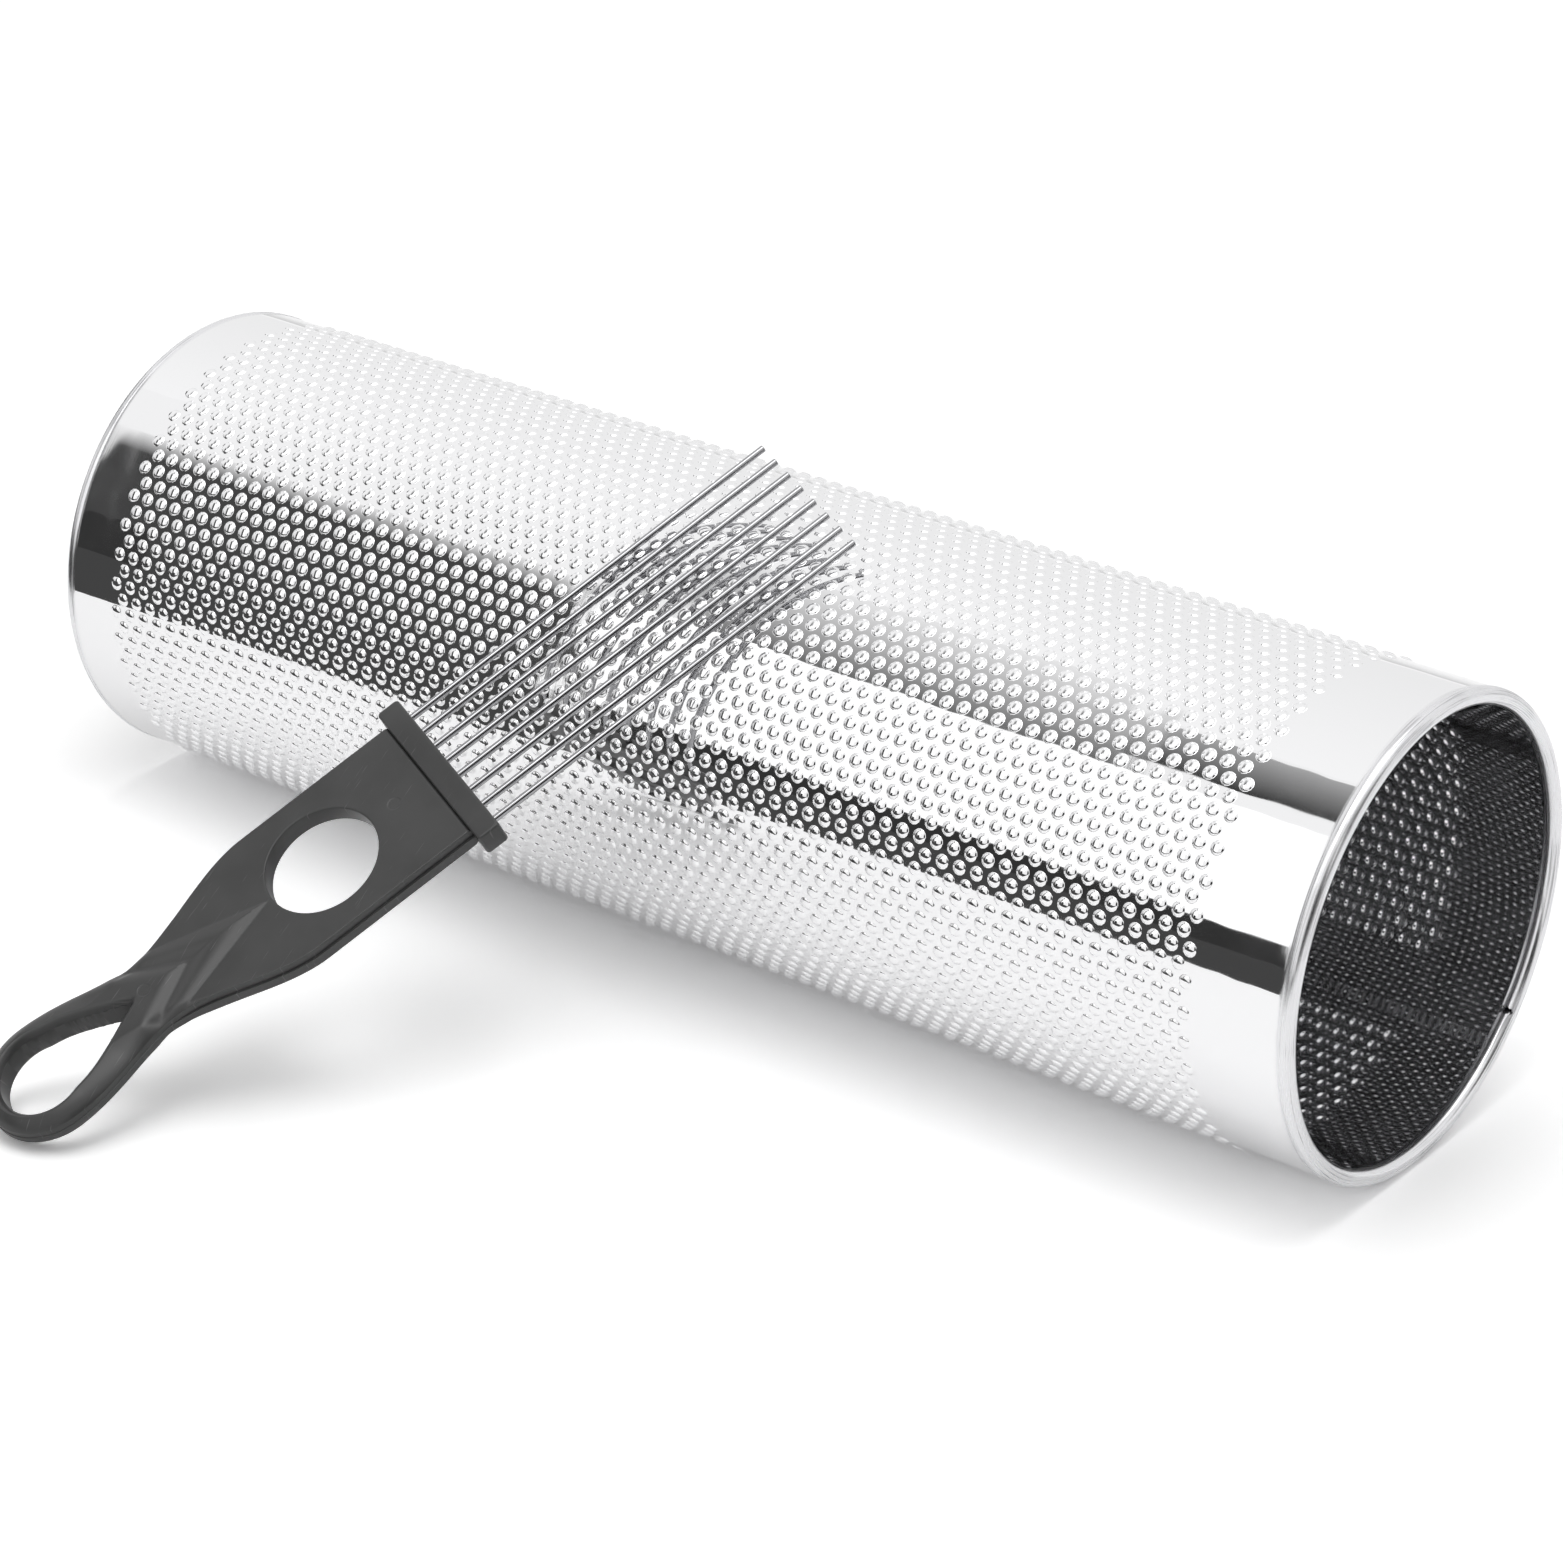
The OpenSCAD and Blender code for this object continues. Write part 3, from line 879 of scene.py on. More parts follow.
@dataclass
class Handle:
    """Moulded handle: a flat paddle with a finger hole, two arrowheads in relief and a hanging loop."""

    plastic: Material
    place: Matrix
    front: float = BAR_DEPTH
    paddle_w: float = 34.3
    paddle_t: float = 4.0
    finger_at: float = FINGER_AT
    finger_r: float = 11.6
    taper_at: float = 39.8
    neck_at: float = 71.3
    neck_w: float = 17.0
    loop_at: float = 94.5
    loop_r: float = 13.1
    loop_t: float = 6.5
    eye_r: float = 8.75
    loop_end: float = 3.8
    eye_point: float = 73.8
    eye_bulge: float = 0.09
    arrow_at: tuple[float, float] = (42.2, 60.8)
    arrow_arms: tuple[float, float] = (66.5, 73.8)
    arrow_t: float = 6.0
    arrow_ridge: float = 0.6
    arrow_ramp: float = 3.3
    arrow_hollow: float = 0.2
    paddle_edge: float = 0.7
    loop_edge: float = 2.5
    loop_edge_z: float = 1.0
    hole_edge: float = 0.3
    eye_slope: tuple[float, float] = (1.4, 1.2)
    ring_edge: float = 5.0
    waist: float = 1.4
    lip: tuple[float, float] = (0.45, 0.15)
    lip_z: float = 0.12
    lower_side: tuple[float, float] = (1.1, 0.75)
    joint_line: tuple[float, float] = (0.5, 0.4)
    least_face: float = 1.0
    loop_rise: float = 4.0
    loop_change: tuple[float, float] = (6.0, 12.0)
    loop_bevel: float = 0.5
    ring_change: float = 8.0
    hole_stops: tuple[float, ...] = (0.0, 0.04, 0.15, 0.3)
    outer_stops: tuple[float, ...] = (0.7, 0.4, 0.2, 0.07, 0.0)
    step: float = 0.6
    neck_steps: int = 34
    inner_rings: int = 44
    end_steps: int = 60
    eye_steps: int = 400
    outline_ahead: float = 5.0
    side_from: float = 0.05
    merge: tuple[float, float] = (0.01, 0.005)
    crease: float = 38.0

    def __post_init__(self) -> None:
        """Work out the eye's centre and the shape of its straight sides."""
        self.eye_at = self.loop_at + self.loop_r - self.loop_end - self.eye_r
        self.eye_half = math.asin(self.eye_r / (self.eye_at - self.eye_point))

    def half_width(self, u: np.ndarray) -> np.ndarray:
        """Half the handle's width at a distance from the bar's front."""
        taper = smooth_step((u - self.taper_at) / (self.neck_at - self.taper_at))
        width = self.paddle_w / 2 - taper * (self.paddle_w - self.neck_w) / 2
        share = np.clip((u - self.neck_at) / (self.loop_at - self.neck_at), 0, 1)
        flare = np.sin(math.pi / 2 * share) ** self.waist
        width = width + flare * (self.loop_r - self.neck_w / 2)
        past = np.clip(u - self.loop_at, 0, self.loop_r)
        return np.where(u > self.loop_at, np.sqrt(self.loop_r ** 2 - past ** 2), width)

    def side(self, start_u: float, end_u: float) -> np.ndarray:
        """Points along one side of the outline, from one distance to another."""
        count = max(2, round(abs(end_u - start_u) / self.step))
        u = np.linspace(start_u, end_u, count + 1)
        return np.stack([u, self.half_width(u)], 1)

    def neck_line(self) -> np.ndarray:
        """Points across the neck, from +w to -w."""
        w = np.linspace(self.neck_w / 2, -self.neck_w / 2, self.neck_steps + 1)
        return np.stack([np.full(w.shape, self.neck_at), w], 1)

    def paddle_ring(self) -> np.ndarray:
        """Closed outline of the paddle, from the front edge round to the neck and back."""
        half = self.paddle_w / 2
        w = np.linspace(-half, half, round(self.paddle_w / self.step) + 1)
        front = np.stack([np.full(w.shape, self.front), w], 1)
        side = self.side(self.front, self.neck_at)
        back = side[::-1] * (1, -1)
        return np.concatenate([front[:-1], side[:-1], self.neck_line()[:-1], back[:-1]])

    def loop_ring(self) -> np.ndarray:
        """Closed outline of the loop, from the neck round its end and back."""
        side = self.side(self.neck_at, self.loop_at)
        turn = np.linspace(0, math.pi, round(math.pi * self.loop_r / self.step) + 1)[1:]
        end = np.stack([self.loop_at + self.loop_r * np.sin(turn), self.loop_r * np.cos(turn)], 1)
        back = side[::-1] * (1, -1)
        return np.concatenate([side, end, back[1:-1], self.neck_line()[::-1][:-1]])

    def finger_edge(self, angle: np.ndarray) -> np.ndarray:
        """Points on the finger hole's edge at these angles round it."""
        return np.stack([self.finger_at + self.finger_r * np.cos(angle), self.finger_r * np.sin(angle)], 1)

    def eye_edge(self, angle: np.ndarray) -> np.ndarray:
        """Points on the teardrop's edge at these angles round its centre."""
        turn = np.mod(angle, 2 * math.pi) - math.pi
        meets = math.pi / 2 - self.eye_half
        reach = (self.eye_at - self.eye_point) * math.sin(self.eye_half)
        straight = reach / np.maximum(np.sin(np.abs(turn) + self.eye_half), TINY)
        full = 1 + self.eye_bulge * np.sin(math.pi * np.clip(np.abs(turn) / meets, 0, 1))
        radius = np.where(np.abs(turn) < meets, straight * full, self.eye_r)
        return np.stack([self.eye_at + radius * np.cos(angle), radius * np.sin(angle)], 1)

    def to_outline(self, u: np.ndarray, w: np.ndarray) -> np.ndarray:
        """Distance from places on the handle to its outer outline."""
        side = self.side(self.front - self.outline_ahead, self.loop_at)
        turn = np.linspace(0, math.pi / 2, self.end_steps)[1:]
        end = np.stack([self.loop_at + self.loop_r * np.sin(turn), self.loop_r * np.cos(turn)], 1)
        edge = np.concatenate([side, end])
        start_p, run = edge[:-1], np.diff(edge, axis=0)
        offset = np.stack([u, np.abs(w)], 1)[:, None, :] - start_p[None]
        share = np.clip((offset * run).sum(2) / (run ** 2).sum(1), 0, 1)
        return np.linalg.norm(offset - share[:, :, None] * run, axis=2).min(1)

    def to_eye(self, u: np.ndarray, w: np.ndarray) -> np.ndarray:
        """Distance from places on the loop to the edge of its eye."""
        edge = self.eye_edge(np.linspace(0, 2 * math.pi, self.eye_steps))
        return np.linalg.norm(np.stack([u, w], 1)[:, None, :] - edge[None], axis=2).min(1)

    def arrow(self, index: int, u: np.ndarray, w: np.ndarray) -> np.ndarray:
        """Distance of places from an arrowhead's edge, which is positive inside it."""
        lean = self.arrow_lean(index)
        return (u - self.arrow_at[index] - lean * np.abs(w)) / math.hypot(1, lean)

    def arrow_lean(self, index: int) -> float:
        """How far an arrowhead's edge runs back for each millimetre from the middle line."""
        return (self.arrow_arms[index] - self.arrow_at[index]) / (self.neck_w / 2)

    def arrow_relief(self, u: np.ndarray, w: np.ndarray, full: float) -> np.ndarray:
        """Rise of the two arrowheads over the paddle's face.

        Args:
            u: Distance from the bar's front.
            w: Distance from the middle line.
            full: Rise of the second arrowhead, which runs on into the loop.

        Returns:
            Rise at each place.
        """
        second_edge = self.arrow_at[1] + self.arrow_lean(1) * np.abs(w)
        face_w = np.maximum(self.arrow(0, second_edge, w), self.least_face)
        widest = float(self.arrow(0, np.array([self.arrow_at[1]]), np.zeros(1))[0])
        across = self.arrow(0, u, w) / face_w
        crest = (self.arrow_t - self.paddle_t) / 2 * face_w / widest
        climb = np.sin(math.pi / 2 * np.clip(across / self.arrow_ridge, 0, 1))
        fall = smooth_step((across - self.arrow_ridge) / (1 - self.arrow_ridge))
        rise = crest * (climb - (1 - self.arrow_hollow) * fall)
        second = np.sin(math.pi / 2 * np.clip(self.arrow(1, u, w) / self.arrow_ramp, 0, 1))
        return rise + (full - rise) * second

    def top(self, u: np.ndarray, w: np.ndarray) -> np.ndarray:
        """Height of the handle's upper face over its middle plane.

        Args:
            u: Distance from the bar's front.
            w: Distance from the middle line.

        Returns:
            Height at each place.
        """
        full = (self.loop_t - self.paddle_t) / 2
        loop_rise = full * smooth_step((u - self.neck_at) / self.loop_rise)
        rise = np.maximum(self.arrow_relief(u, w, full), loop_rise)
        line_run, line_depth = self.joint_line
        joint = line_depth * (1 - np.clip((u - self.front) / line_run, 0, 1))
        face = self.paddle_t / 2 + rise - joint
        along = self.to_loop(u)
        from_side, from_eye = self.to_outline(u, w), self.to_eye(u, w)
        ring = np.clip(from_side + from_eye - self.eye_slope[0], self.loop_edge, self.ring_edge)
        past_neck = smooth_step((u - self.eye_point) / self.ring_change)
        loop_run = self.loop_edge + past_neck * (ring - self.loop_edge)
        edge_run = self.paddle_edge + along * (loop_run - self.paddle_edge)
        edge_z = face - self.paddle_edge + along * (self.loop_edge_z - face + self.paddle_edge)
        share = np.clip(from_side / edge_run, 0, 1)
        rounded = np.sqrt(1 - (1 - share) ** 2)
        shaped = rounded + along * self.loop_bevel * (share - rounded)
        hole = np.minimum(np.hypot(u - self.finger_at, w) - self.finger_r, from_eye)
        near_hole = 1 - np.clip(hole / self.hole_edge, 0, 1)
        sunk = self.hole_edge * (1 - np.sqrt(1 - near_hole ** 2))
        slope_run, slope_depth = self.eye_slope
        sunk = sunk + slope_depth * (1 - np.clip(from_eye / slope_run, 0, 1)) ** 2
        return edge_z + (face - edge_z) * shaped - sunk

    def grow(self, name: str, centre: float, hole: Callable[[np.ndarray], np.ndarray],
             outline: np.ndarray) -> Piece:
        """Grow the upper face and the hole's wall from a hole's edge out to the outline.

        Args:
            name: Name of the new object.
            centre: Distance of the hole's centre from the bar's front.
            hole: Gives the hole's edge at angles round its centre.
            outline: Closed outline, in order of angle.

        Returns:
            The open upper half, in the scraper's own millimetres.
        """
        angle = np.arctan2(outline[:, 1], outline[:, 0] - centre)
        inner = hole(angle)
        inward = self.inset_outline(outline)
        reach = np.linalg.norm(inward - inner, axis=1)
        rings = [np.concatenate([inner, np.zeros((len(inner), 1))], 1)]
        stops = [np.full(reach.shape, stop) for stop in self.hole_stops]
        stops += [self.hole_stops[-1] + (reach - self.outer_stops[0] - self.hole_stops[-1]) * share
                  for share in np.linspace(0, 1, self.inner_rings + 2)[1:-1]]
        stops += [reach - stop for stop in self.outer_stops]
        for stop in stops:
            flat = inner + (inward - inner) * (stop / reach)[:, None]
            rings.append(np.concatenate([flat, self.top(flat[:, 0], flat[:, 1])[:, None]], 1))
        made = start(bpy.ops.mesh.primitive_circle_add, name, vertices=len(outline), radius=1.0)
        bpy.ops.object.mode_set(mode="EDIT")
        shape = bmesh.from_edit_mesh(made.data)
        ray = shape.verts.layers.int.new("ray")
        for number, vertex in enumerate(shape.verts):
            vertex[ray] = number
            vertex.co = rings[0][number]
        bmesh.update_edit_mesh(made.data)
        select_edges(made, lambda edge: True)
        for ring in rings[1:]:
            layer = bmesh.from_edit_mesh(made.data).verts.layers.int["ray"]
            extrude_to(made, lambda v: Vector(ring[v[layer]]))
        bpy.ops.object.mode_set(mode="OBJECT")
        return made

    def inset_outline(self, outline: np.ndarray) -> np.ndarray:
        """The upper half's outline, which is set in from the lower half's."""
        at_neck = np.abs(outline[:, 0] - self.neck_at) < TINY
        at_front = np.abs(outline[:, 0] - self.front) < TINY
        moved = outline.copy()
        round_end = outline[:, 0] > self.loop_at
        centre = np.array([self.loop_at, 0.0])
        spoke = outline - centre
        spoke /= np.maximum(np.linalg.norm(spoke, axis=1), TINY)[:, None]
        moved[round_end] -= spoke[round_end] * self.lip[1]
        plain = ~round_end & (~at_neck | (np.abs(np.abs(outline[:, 1]) - self.neck_w / 2) < TINY))
        plain &= ~at_front | (np.abs(np.abs(outline[:, 1]) - self.paddle_w / 2) < TINY)
        moved[plain, 1] -= np.sign(outline[plain, 1]) * self.lip_at(outline[plain, 0])
        return moved

    def lip_at(self, u: np.ndarray) -> np.ndarray:
        """How far the lower half stands out past the upper one, at a distance from the bar's front."""
        return self.lip[0] + (self.lip[1] - self.lip[0]) * self.to_loop(u)

    def to_loop(self, u: np.ndarray) -> np.ndarray:
        """Share of the change from the paddle's edges to the loop's, at a distance from the bar's front."""
        ahead, run = self.loop_change
        return smooth_step((u - self.arrow_arms[0] + ahead) / run)

    def build(self) -> Piece:
        """Model the handle.

        Returns:
            The finished handle, in place.
        """
        handle = self.grow("scraper_handle", self.finger_at, self.finger_edge, self.paddle_ring())
        loop = self.grow("scraper_loop", self.eye_at, self.eye_edge, self.loop_ring())
        make_active(handle)
        loop.select_set(True)
        bpy.ops.object.join()
        on_whole(handle, bpy.ops.mesh.remove_doubles, threshold=self.merge[0])
        bpy.ops.object.mode_set(mode="EDIT")
        select_edges(handle, lambda e: e.is_boundary and all(v.co.z > self.side_from for v in e.verts))
        extrude_to(handle, lambda v: Vector((v.co.x, v.co.y, self.lip_z)))
        extrude_to(handle, lambda v: self.widened(v, self.lip_z / 2))
        extrude_to(handle, lambda v: Vector((v.co.x, v.co.y, 0)))
        bpy.ops.object.mode_set(mode="OBJECT")
        apply_modifier(handle, "MIRROR", use_axis=(False, False, True), merge_threshold=self.merge[1])
        self.widen_lower_half(handle)
        on_whole(handle, bpy.ops.mesh.normals_make_consistent, inside=False)
        keep_flat_map(handle.data, "plan", rows_of(handle.data))
        handle.data.transform(self.place)
        make_active(handle)
        bpy.ops.object.shade_smooth_by_angle(angle=math.radians(self.crease))
        handle.data.materials.append(self.plastic)
        return handle

    def widened(self, vertex: bmesh.types.BMVert | bpy.types.MeshVertex, height: float) -> Vector:
        """Place of a side vertex when it is moved out to the lower half's outline, at a height."""
        u, w = vertex.co.x, vertex.co.y
        out = Vector((0, math.copysign(1, w), 0))
        if u > self.loop_at:
            out = Vector((u - self.loop_at, w, 0)).normalized()
        at_bar = abs(u - self.front) < self.merge[0] and abs(w) < self.paddle_w / 2 - 2 * self.lip[0]
        return Vector((u, w, height)) + out * (0 if at_bar else float(self.lip_at(u)))

    def widen_lower_half(self, handle: Piece) -> None:
        """Move the lower half's side and its rounded edge out to the full outline."""
        flat = rows_of(handle.data)
        from_side = self.to_outline(flat[:, 0], flat[:, 1])
        near_side = from_side < self.lip_at(flat[:, 0]) + self.lower_side[0] * self.paddle_edge
        for index in np.flatnonzero(near_side & (flat[:, 2] < -self.lower_side[1] * self.lip_z)):
            vertex = handle.data.vertices[index]
            vertex.co = self.widened(vertex, vertex.co.z)

    def dress(self, handle: Piece) -> None:
        """Deliver the handle on the scraper, in place of its node."""
        deliver(handle, Body.SCRAPER, ["handle"])


@dataclass
class TineHead:
    """Head of the scraper: a moulded bar with eight straight wires in its front."""

    plastic: Material
    wire: Material
    place: Matrix
    tines: int = 8
    tine_d: float = 1.4
    tine_l: float = 84.9
    tine_root: float = 4.2
    tine_pitch: float = 4.75
    tip_bevel: float = 0.2
    wire_sides: int = 24
    bar_depth: float = BAR_DEPTH
    bar_t: float = 5.2
    bar_end: float = 3.9
    corner_r: float = 0.8
    edge_r: float = 0.5
    bevel_steps: tuple[int, int, int] = (5, 4, 3)
    crease: float = 40.0

    def build(self) -> list[Piece]:
        """Model the bar and the tines.

        Returns:
            The bar and then the tines, in place.
        """
        made = [self.bar()]
        tine = self.tine()
        for number in range(1, self.tines + 1):
            wire = copied(tine, f"tine_wire_{number}")
            across = (number - (self.tines + 1) / 2) * self.tine_pitch
            wire.data.transform(self.place @ Matrix.Translation((0, -across, 0)))
            made.append(wire)
        bpy.data.objects.remove(tine)
        return made

    def bar(self) -> Piece:
        """Model the bar with round corners and softened edges."""
        width = (self.tines - 1) * self.tine_pitch + 2 * self.bar_end
        bar = start(bpy.ops.mesh.primitive_cube_add, "scraper_head_bar", size=1.0)
        bpy.ops.object.mode_set(mode="EDIT")
        bpy.ops.transform.resize(value=(self.bar_depth, width, self.bar_t))
        bpy.ops.transform.translate(value=(self.bar_depth / 2, 0, 0))
        select_edges(bar, lambda e: abs(e.verts[0].co.z - e.verts[1].co.z) > self.edge_r)
        bpy.ops.mesh.bevel(offset=self.corner_r, segments=self.bevel_steps[0], affect="EDGES")
        top = self.bar_t / 2 - self.edge_r / 2
        select_edges(bar, lambda e: all(v.co.z > top for v in e.verts)
                     or all(v.co.z < -top for v in e.verts))
        bpy.ops.mesh.bevel(offset=self.edge_r, segments=self.bevel_steps[1], affect="EDGES")
        bpy.ops.object.mode_set(mode="OBJECT")
        keep_flat_map(bar.data, "plan", rows_of(bar.data))
        bar.data.transform(self.place)
        make_active(bar)
        bpy.ops.object.shade_smooth_by_angle(angle=math.radians(self.crease))
        bar.data.materials.append(self.plastic)
        return bar

    def tine(self) -> Piece:
        """Model one wire with a bevelled tip, along the bar's middle line."""
        tine = start(bpy.ops.mesh.primitive_cylinder_add, "tine_wire", vertices=self.wire_sides,
                     radius=self.tine_d / 2, depth=self.tine_root + self.tine_l,
                     rotation=(0, math.pi / 2, 0), location=((self.tine_root - self.tine_l) / 2, 0, 0))
        bpy.ops.object.transform_apply(location=True, rotation=True, scale=True)
        bpy.ops.object.mode_set(mode="EDIT")
        select_edges(tine, lambda e: all(v.co.x < self.tip_bevel - self.tine_l for v in e.verts))
        bpy.ops.mesh.bevel(offset=self.tip_bevel, segments=self.bevel_steps[2], affect="EDGES")
        bpy.ops.object.mode_set(mode="OBJECT")
        bpy.ops.object.shade_smooth_by_angle(angle=math.radians(self.crease))
        tine.data.materials.append(self.wire)
        return tine

    def dress(self, pieces: list[Piece]) -> None:
        """Deliver the bar and the tines on the scraper, in place of their nodes."""
        deliver(pieces[0], Body.SCRAPER, ["head_bar"])
        for number, wire in enumerate(pieces[1:], 1):
            deliver(wire, Body.SCRAPER, [f"tine_{number}"])


def only_mirrored(card: Piece, colour: str, glow: float = 1.0, fades_to: str = "",
                  fades_from: float = 0.0) -> None:
    """Give a stage card its own brightness and let it show in reflections alone.

    Args:
        card: Card on the stage.
        colour: Colour of the card.
        glow: Brightness of the card.
        fades_to: Colour of its upper edge, if that is another.
        fades_from: Share of the card's height at which the change begins.
    """
    made, tree, output = new_material(card.name)
    shade = linear(colour)
    if fades_to:
        place = add_node(tree, "ShaderNodeTexCoord")
        axes = add_node(tree, "ShaderNodeSeparateXYZ", {"Vector": place.outputs["UV"]})
        share = add_node(tree, "ShaderNodeMapRange", (axes.outputs["Y"], fades_from, 1.0))
        shade = add_node(tree, "ShaderNodeMix", {
            "Factor": share.outputs["Result"], MIX_A: shade, MIX_B: linear(fades_to)},
            data_type="RGBA").outputs[MIXED]
    shader = add_node(tree, "ShaderNodeEmission", {"Color": shade, "Strength": glow})
    tree.links.new(shader.outputs["Emission"], output.inputs["Surface"])
    card.data.materials.append(made)
    card.visible_camera = False
    card.visible_diffuse = False
    card.visible_shadow = False
    card.visible_transmission = False


@dataclass
class Flag:
    """Curved studio card round the tube's axis, which only shows in the metal's reflections.

    Its tilt is in degrees up from the front, its reach sideways is the sine of the angle towards +X,
    and its distance is in metres. A corner is rounded off over a width, measured as the reach is,
    and down by degrees of tilt.
    """

    name: str
    colour: str
    tilt: tuple[float, float]
    sideways: tuple[float, float]
    fades_to: str = ""
    fades_from: float = 0.0
    corner: tuple[float, float] = (0.0, 0.0)
    distance: float = 4.0
    glow: float = 1.0
    steps: int = 24

    def build(self, centre: Vector) -> None:
        """Bend a grid into the card, round the tube's middle."""
        card = start(bpy.ops.mesh.primitive_grid_add, self.name, x_subdivisions=self.steps,
                     y_subdivisions=self.steps, size=1.0)
        round_share, round_tilt = self.corner
        for vertex in card.data.vertices:
            across = self.sideways[0] + (vertex.co.x + 0.5) * (self.sideways[1] - self.sideways[0])
            inset = max(0.0, 1 - (across - self.sideways[0]) / round_share) if round_share else 0.0
            top = self.tilt[1] - round_tilt * (1 - math.sqrt(1 - inset ** 2))
            up = math.radians(self.tilt[0] + (vertex.co.y + 0.5) * (top - self.tilt[0]))
            level = math.sqrt(1 - across ** 2)
            ray = Vector((across, -level * math.cos(up), level * math.sin(up)))
            vertex.co = centre + ray * self.distance
        only_mirrored(card, self.colour, self.glow, self.fades_to, self.fades_from)


@dataclass
class Studio:
    """Camera, floor, light and the cards that the metal mirrors.

    The camera's distances are in millimetres. The floor, the lamps and the cards are in metres.
    """

    azimuth: float = 38.06
    elevation: float = 26.71
    distance: float = 961.8
    aim_right: float = 1.1
    aim_up: float = -12.9
    lens: float = 112.58
    sensor: float = 36.0
    floor_size: float = 12.0
    floor_colour: str = "#f4f4f4"
    floor_gain: tuple[float, float] = (1.6, 1.35)
    floor_white: tuple[float, float] = (0.45, 1.0)
    world_light: float = 0.56
    lamps: tuple[tuple[tuple[float, float, float], float, float], ...] = (
        ((0.06, -0.4, 1.28), 0.8, 3.2), ((0.15, 0.1, 1.4), 1.15, 3.5))
    table_edge: tuple[tuple[float, float], tuple[float, float]] = ((-0.24, -0.093), (0.015, -0.23))
    below_table: str = "#464646"
    below_size: tuple[float, float] = (8.0, 5.0)
    below_z: float = 0.0004

    def build(self, centre: Vector) -> None:
        """Set the whole stage round the tube's middle."""
        self.camera(centre)
        self.world()
        self.floor()
        self.lights(centre)
        self.cards(centre)

    def camera(self, centre: Vector) -> None:
        """Put the camera where the photograph was taken from."""
        az, el = math.radians(self.azimuth), math.radians(self.elevation)
        back = Vector((math.sin(az) * math.cos(el), -math.cos(az) * math.cos(el), math.sin(el)))
        right = Vector((math.cos(az), math.sin(az), 0))
        up = back.cross(right)
        aim = centre + (right * self.aim_right + up * self.aim_up) * MM
        bpy.ops.object.select_all(action="DESELECT")
        bpy.ops.object.camera_add(location=aim + back * self.distance * MM)
        camera = bpy.context.object
        camera.rotation_mode = "QUATERNION"
        camera.rotation_quaternion = (-back).to_track_quat("-Z", "Y")
        camera.data.sensor_width = self.sensor
        camera.data.lens = self.lens
        bpy.context.scene.camera = camera

    def world(self) -> None:
        """White all round, which the camera and the metal both see."""
        world = bpy.data.worlds.new("white_studio")
        world.use_nodes = True
        tree = world.node_tree
        tree.nodes.clear()
        light = add_node(tree, "ShaderNodeLightPath")
        seen = add_node(tree, "ShaderNodeMath", (
            light.outputs["Is Camera Ray"], light.outputs["Is Glossy Ray"]), operation="MAXIMUM")
        strength = add_node(tree, "ShaderNodeMapRange", (
            seen.outputs["Value"], 0.0, 1.0, self.world_light, 1.0))
        back = add_node(tree, "ShaderNodeBackground", {
            "Color": WHITE, "Strength": strength.outputs["Result"]})
        output = add_node(tree, "ShaderNodeOutputWorld")
        tree.links.new(back.outputs["Background"], output.inputs["Surface"])
        bpy.context.scene.world = world

    def floor(self) -> None:
        """Plain white paper that keeps the object's shadow and runs into the white background."""
        floor = start(bpy.ops.mesh.primitive_plane_add, "floor", size=self.floor_size)
        made, tree, output = new_material("white_paper")
        light = add_node(tree, "ShaderNodeLightPath")
        # Seen by the camera or mirrored, the paper is exposed to white and keeps its shadows
        gain = 1.0
        for ray, factor in zip(("Is Camera Ray", "Is Glossy Ray"), self.floor_gain):
            gain = add_node(tree, "ShaderNodeMath", (
                light.outputs[ray], factor - 1, gain), operation="MULTIPLY_ADD").outputs["Value"]
        exposed = add_node(tree, "ShaderNodeVectorMath", {
            0: linear(self.floor_colour)[:3], "Scale": gain}, operation="SCALE")
        paper = add_node(tree, "ShaderNodeBsdfDiffuse", {"Color": exposed.outputs["Vector"]})
        # Far from the object the camera sees the paper run into the white background
        place = add_node(tree, "ShaderNodeTexCoord")
        away = add_node(tree, "ShaderNodeVectorMath", {0: place.outputs["Object"]}, operation="LENGTH")
        share = add_node(tree, "ShaderNodeMapRange", (
            away.outputs["Value"], *self.floor_white, 0.0, light.outputs["Is Camera Ray"]))
        white = add_node(tree, "ShaderNodeEmission", {"Color": WHITE})
        mixed = add_node(tree, "ShaderNodeMixShader", {
            "Fac": share.outputs["Result"], 1: paper.outputs["BSDF"], 2: white.outputs["Emission"]})
        tree.links.new(mixed.outputs["Shader"], output.inputs["Surface"])
        floor.data.materials.append(made)

    def lights(self, centre: Vector) -> None:
        """Two soft lamps overhead, one before the tube and a broad one straight over it."""
        for place, size, power in self.lamps:
            bpy.ops.object.select_all(action="DESELECT")
            spot = centre + Vector(place)
            bpy.ops.object.light_add(type="AREA", location=spot)
            lamp = bpy.context.object
            lamp.data.shape = "DISK"
            lamp.data.size = size
            lamp.data.energy = power
            lamp.rotation_mode = "QUATERNION"
            lamp.rotation_quaternion = (centre - spot).to_track_quat("-Z", "Y")

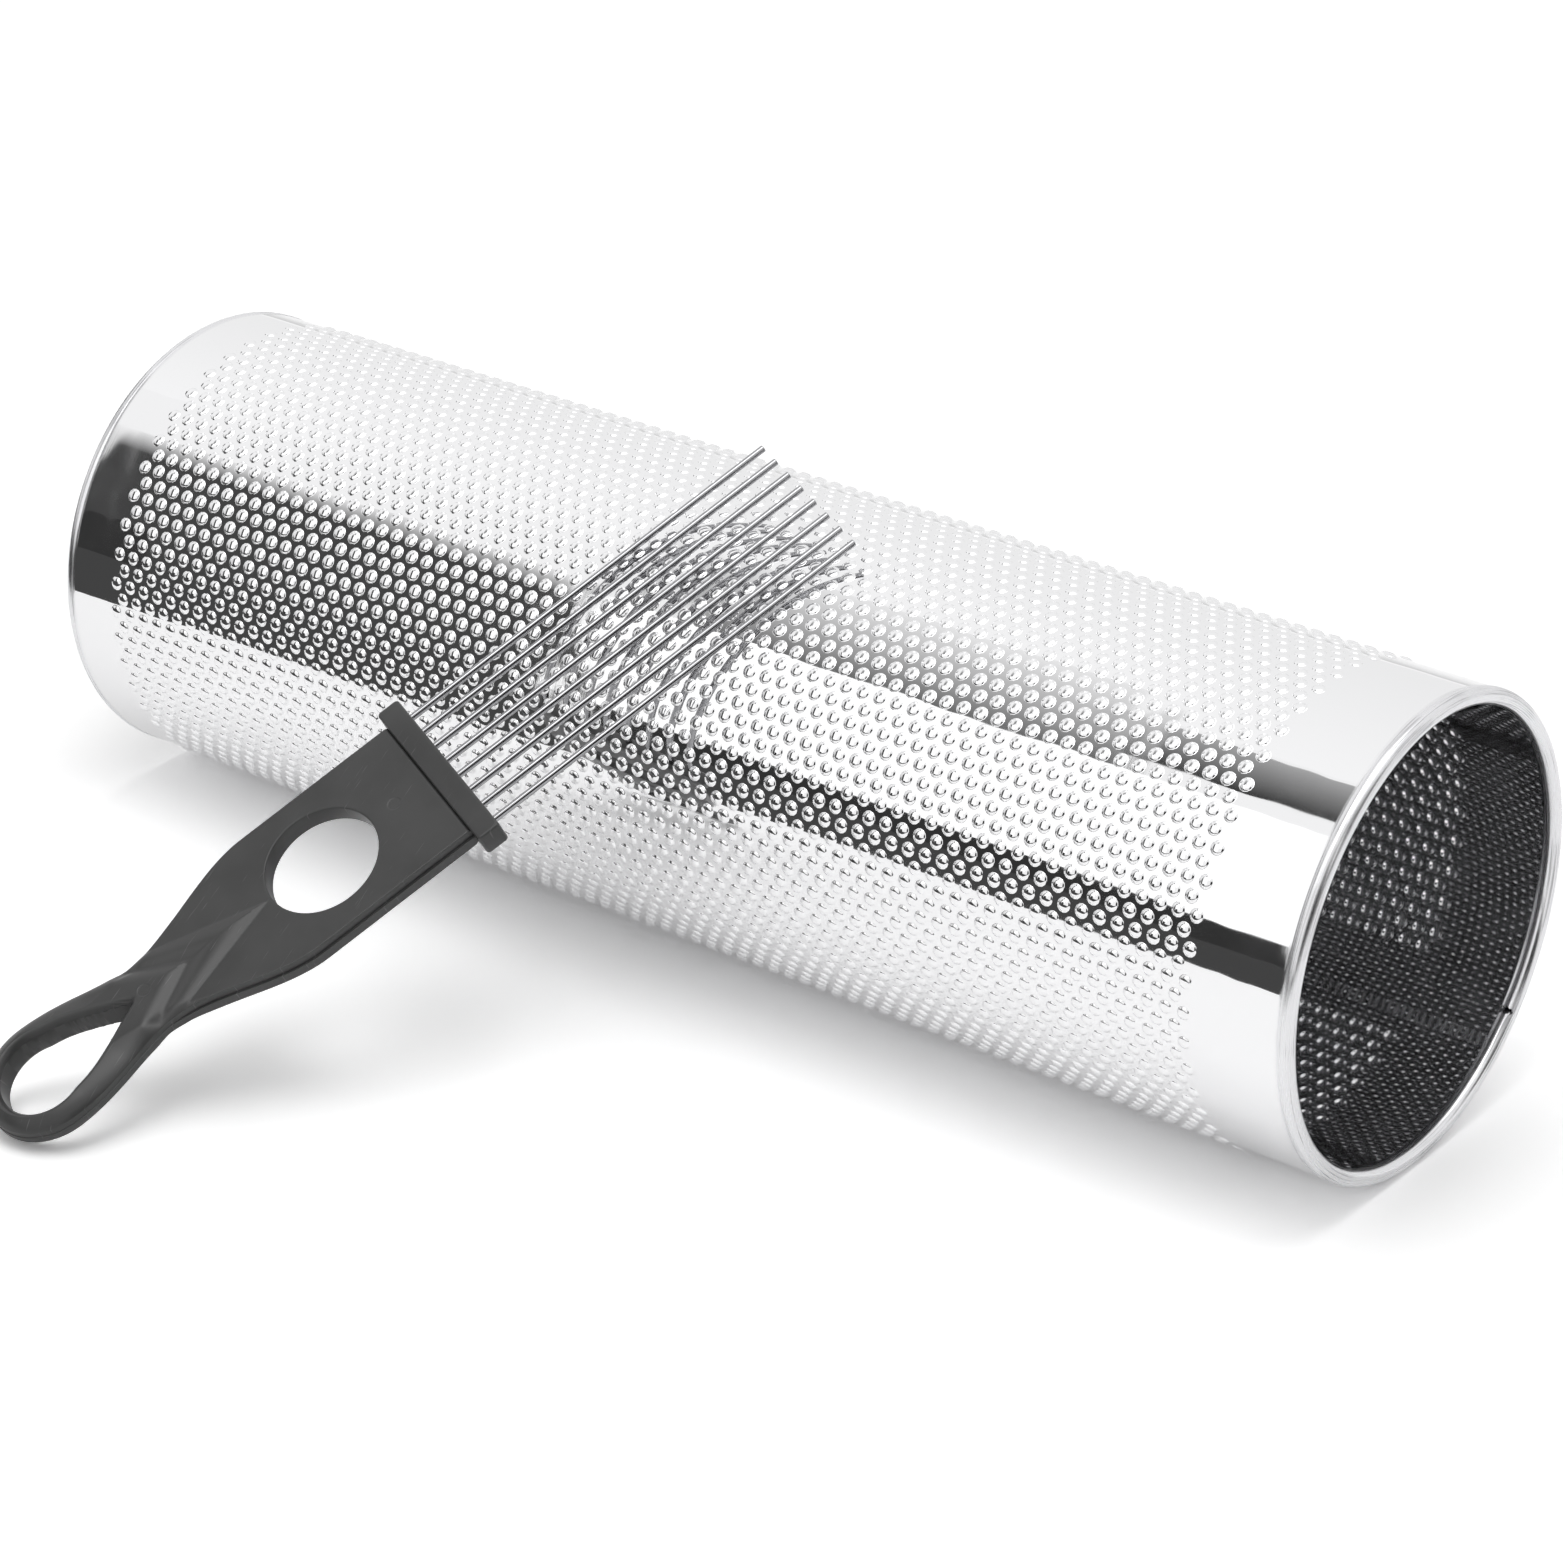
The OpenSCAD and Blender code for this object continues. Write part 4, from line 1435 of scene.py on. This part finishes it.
    def cards(self, centre: Vector) -> None:
        """Dark and bright cards round the tube, which its bands and dimples mirror."""
        cards = (
            Flag("flag_left", "#464646", (-2.0, 64.0), (-0.711, -0.585), fades_to="#eeeeee",
                 fades_from=0.845, corner=(0.006, 12.0), distance=1.5),
            Flag("flag_left_core", "#363636", (-2.0, 18.0), (-0.71, -0.694), corner=(0.009, 10.0),
                 distance=1.45),
            Flag("flag_far_left", "#dadada", (-2.0, 60.0), (-0.985, -0.66), fades_to="#fafafa"),
            Flag("flag_back_left", "#505050", (100.0, 160.0), (-0.985, -0.9)),
            Flag("flag_right", "#303030", (-3.0, 52.0), (0.55, 0.999)),
            Flag("flag_right_back", "#484848", (80.0, 140.0), (0.8, 0.999)),
            Flag("flag_horizon", "#343434", (-2.0, 9.0), (-0.585, -0.408)),
            Flag("flag_gap", "#383838", (66.5, 86.5), (-0.47, -0.408), fades_to="#acacac"),
            Flag("flag_gap_soft", "#6c6c6c", (60.0, 100.0), (-0.57, -0.47), fades_to="#f4f4f4"),
            Flag("softbox", "#ffffff", (9.0, 60.0), (-0.585, -0.25), glow=1.25),
            Flag("strip_light", "#ffffff", (42.0, 70.0), (-0.22, 0.12), glow=2.5),
            Flag("ceiling", "#fafafa", (88.0, 178.0), (-0.8, 0.6), fades_to="#ececec", distance=4.2,
                 glow=1.08))
        for card in cards:
            card.build(centre)
        self.floor_card()

    def floor_card(self) -> None:
        """Dark card beyond the table's edge, which the metal mirrors below the horizon."""
        start_p, end_p = (Vector(point) for point in self.table_edge)
        along = (end_p - start_p).normalized()
        away = Vector((along.y, -along.x))
        length, width = self.below_size
        card = start(bpy.ops.mesh.primitive_plane_add, "flag_floor", size=1.0)
        for vertex in card.data.vertices:
            place = start_p + along * vertex.co.x * length + away * (vertex.co.y + 0.5) * width
            vertex.co = Vector((place.x, place.y, self.below_z))
        only_mirrored(card, self.below_table)


def main() -> None:
    """Build the stage and the object's pieces in order."""
    logging.basicConfig(level=logging.INFO, format="%(name)s: %(message)s")
    bpy.context.scene.view_settings.view_transform = "Standard"
    low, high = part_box("tube")
    Studio().build((low + high) / 2)
    tube = DimpledTube(BrightSheet().material(), DullSheet().material())
    tube.dress(tube.build())
    place = ScraperPlace().matrix()
    plastic = MouldedPlastic().material()
    handle = Handle(plastic, place)
    handle.dress(handle.build())
    head = TineHead(plastic, DrawnWire().material(), place)
    head.dress(head.build())


if __name__ == "__main__":
    main()
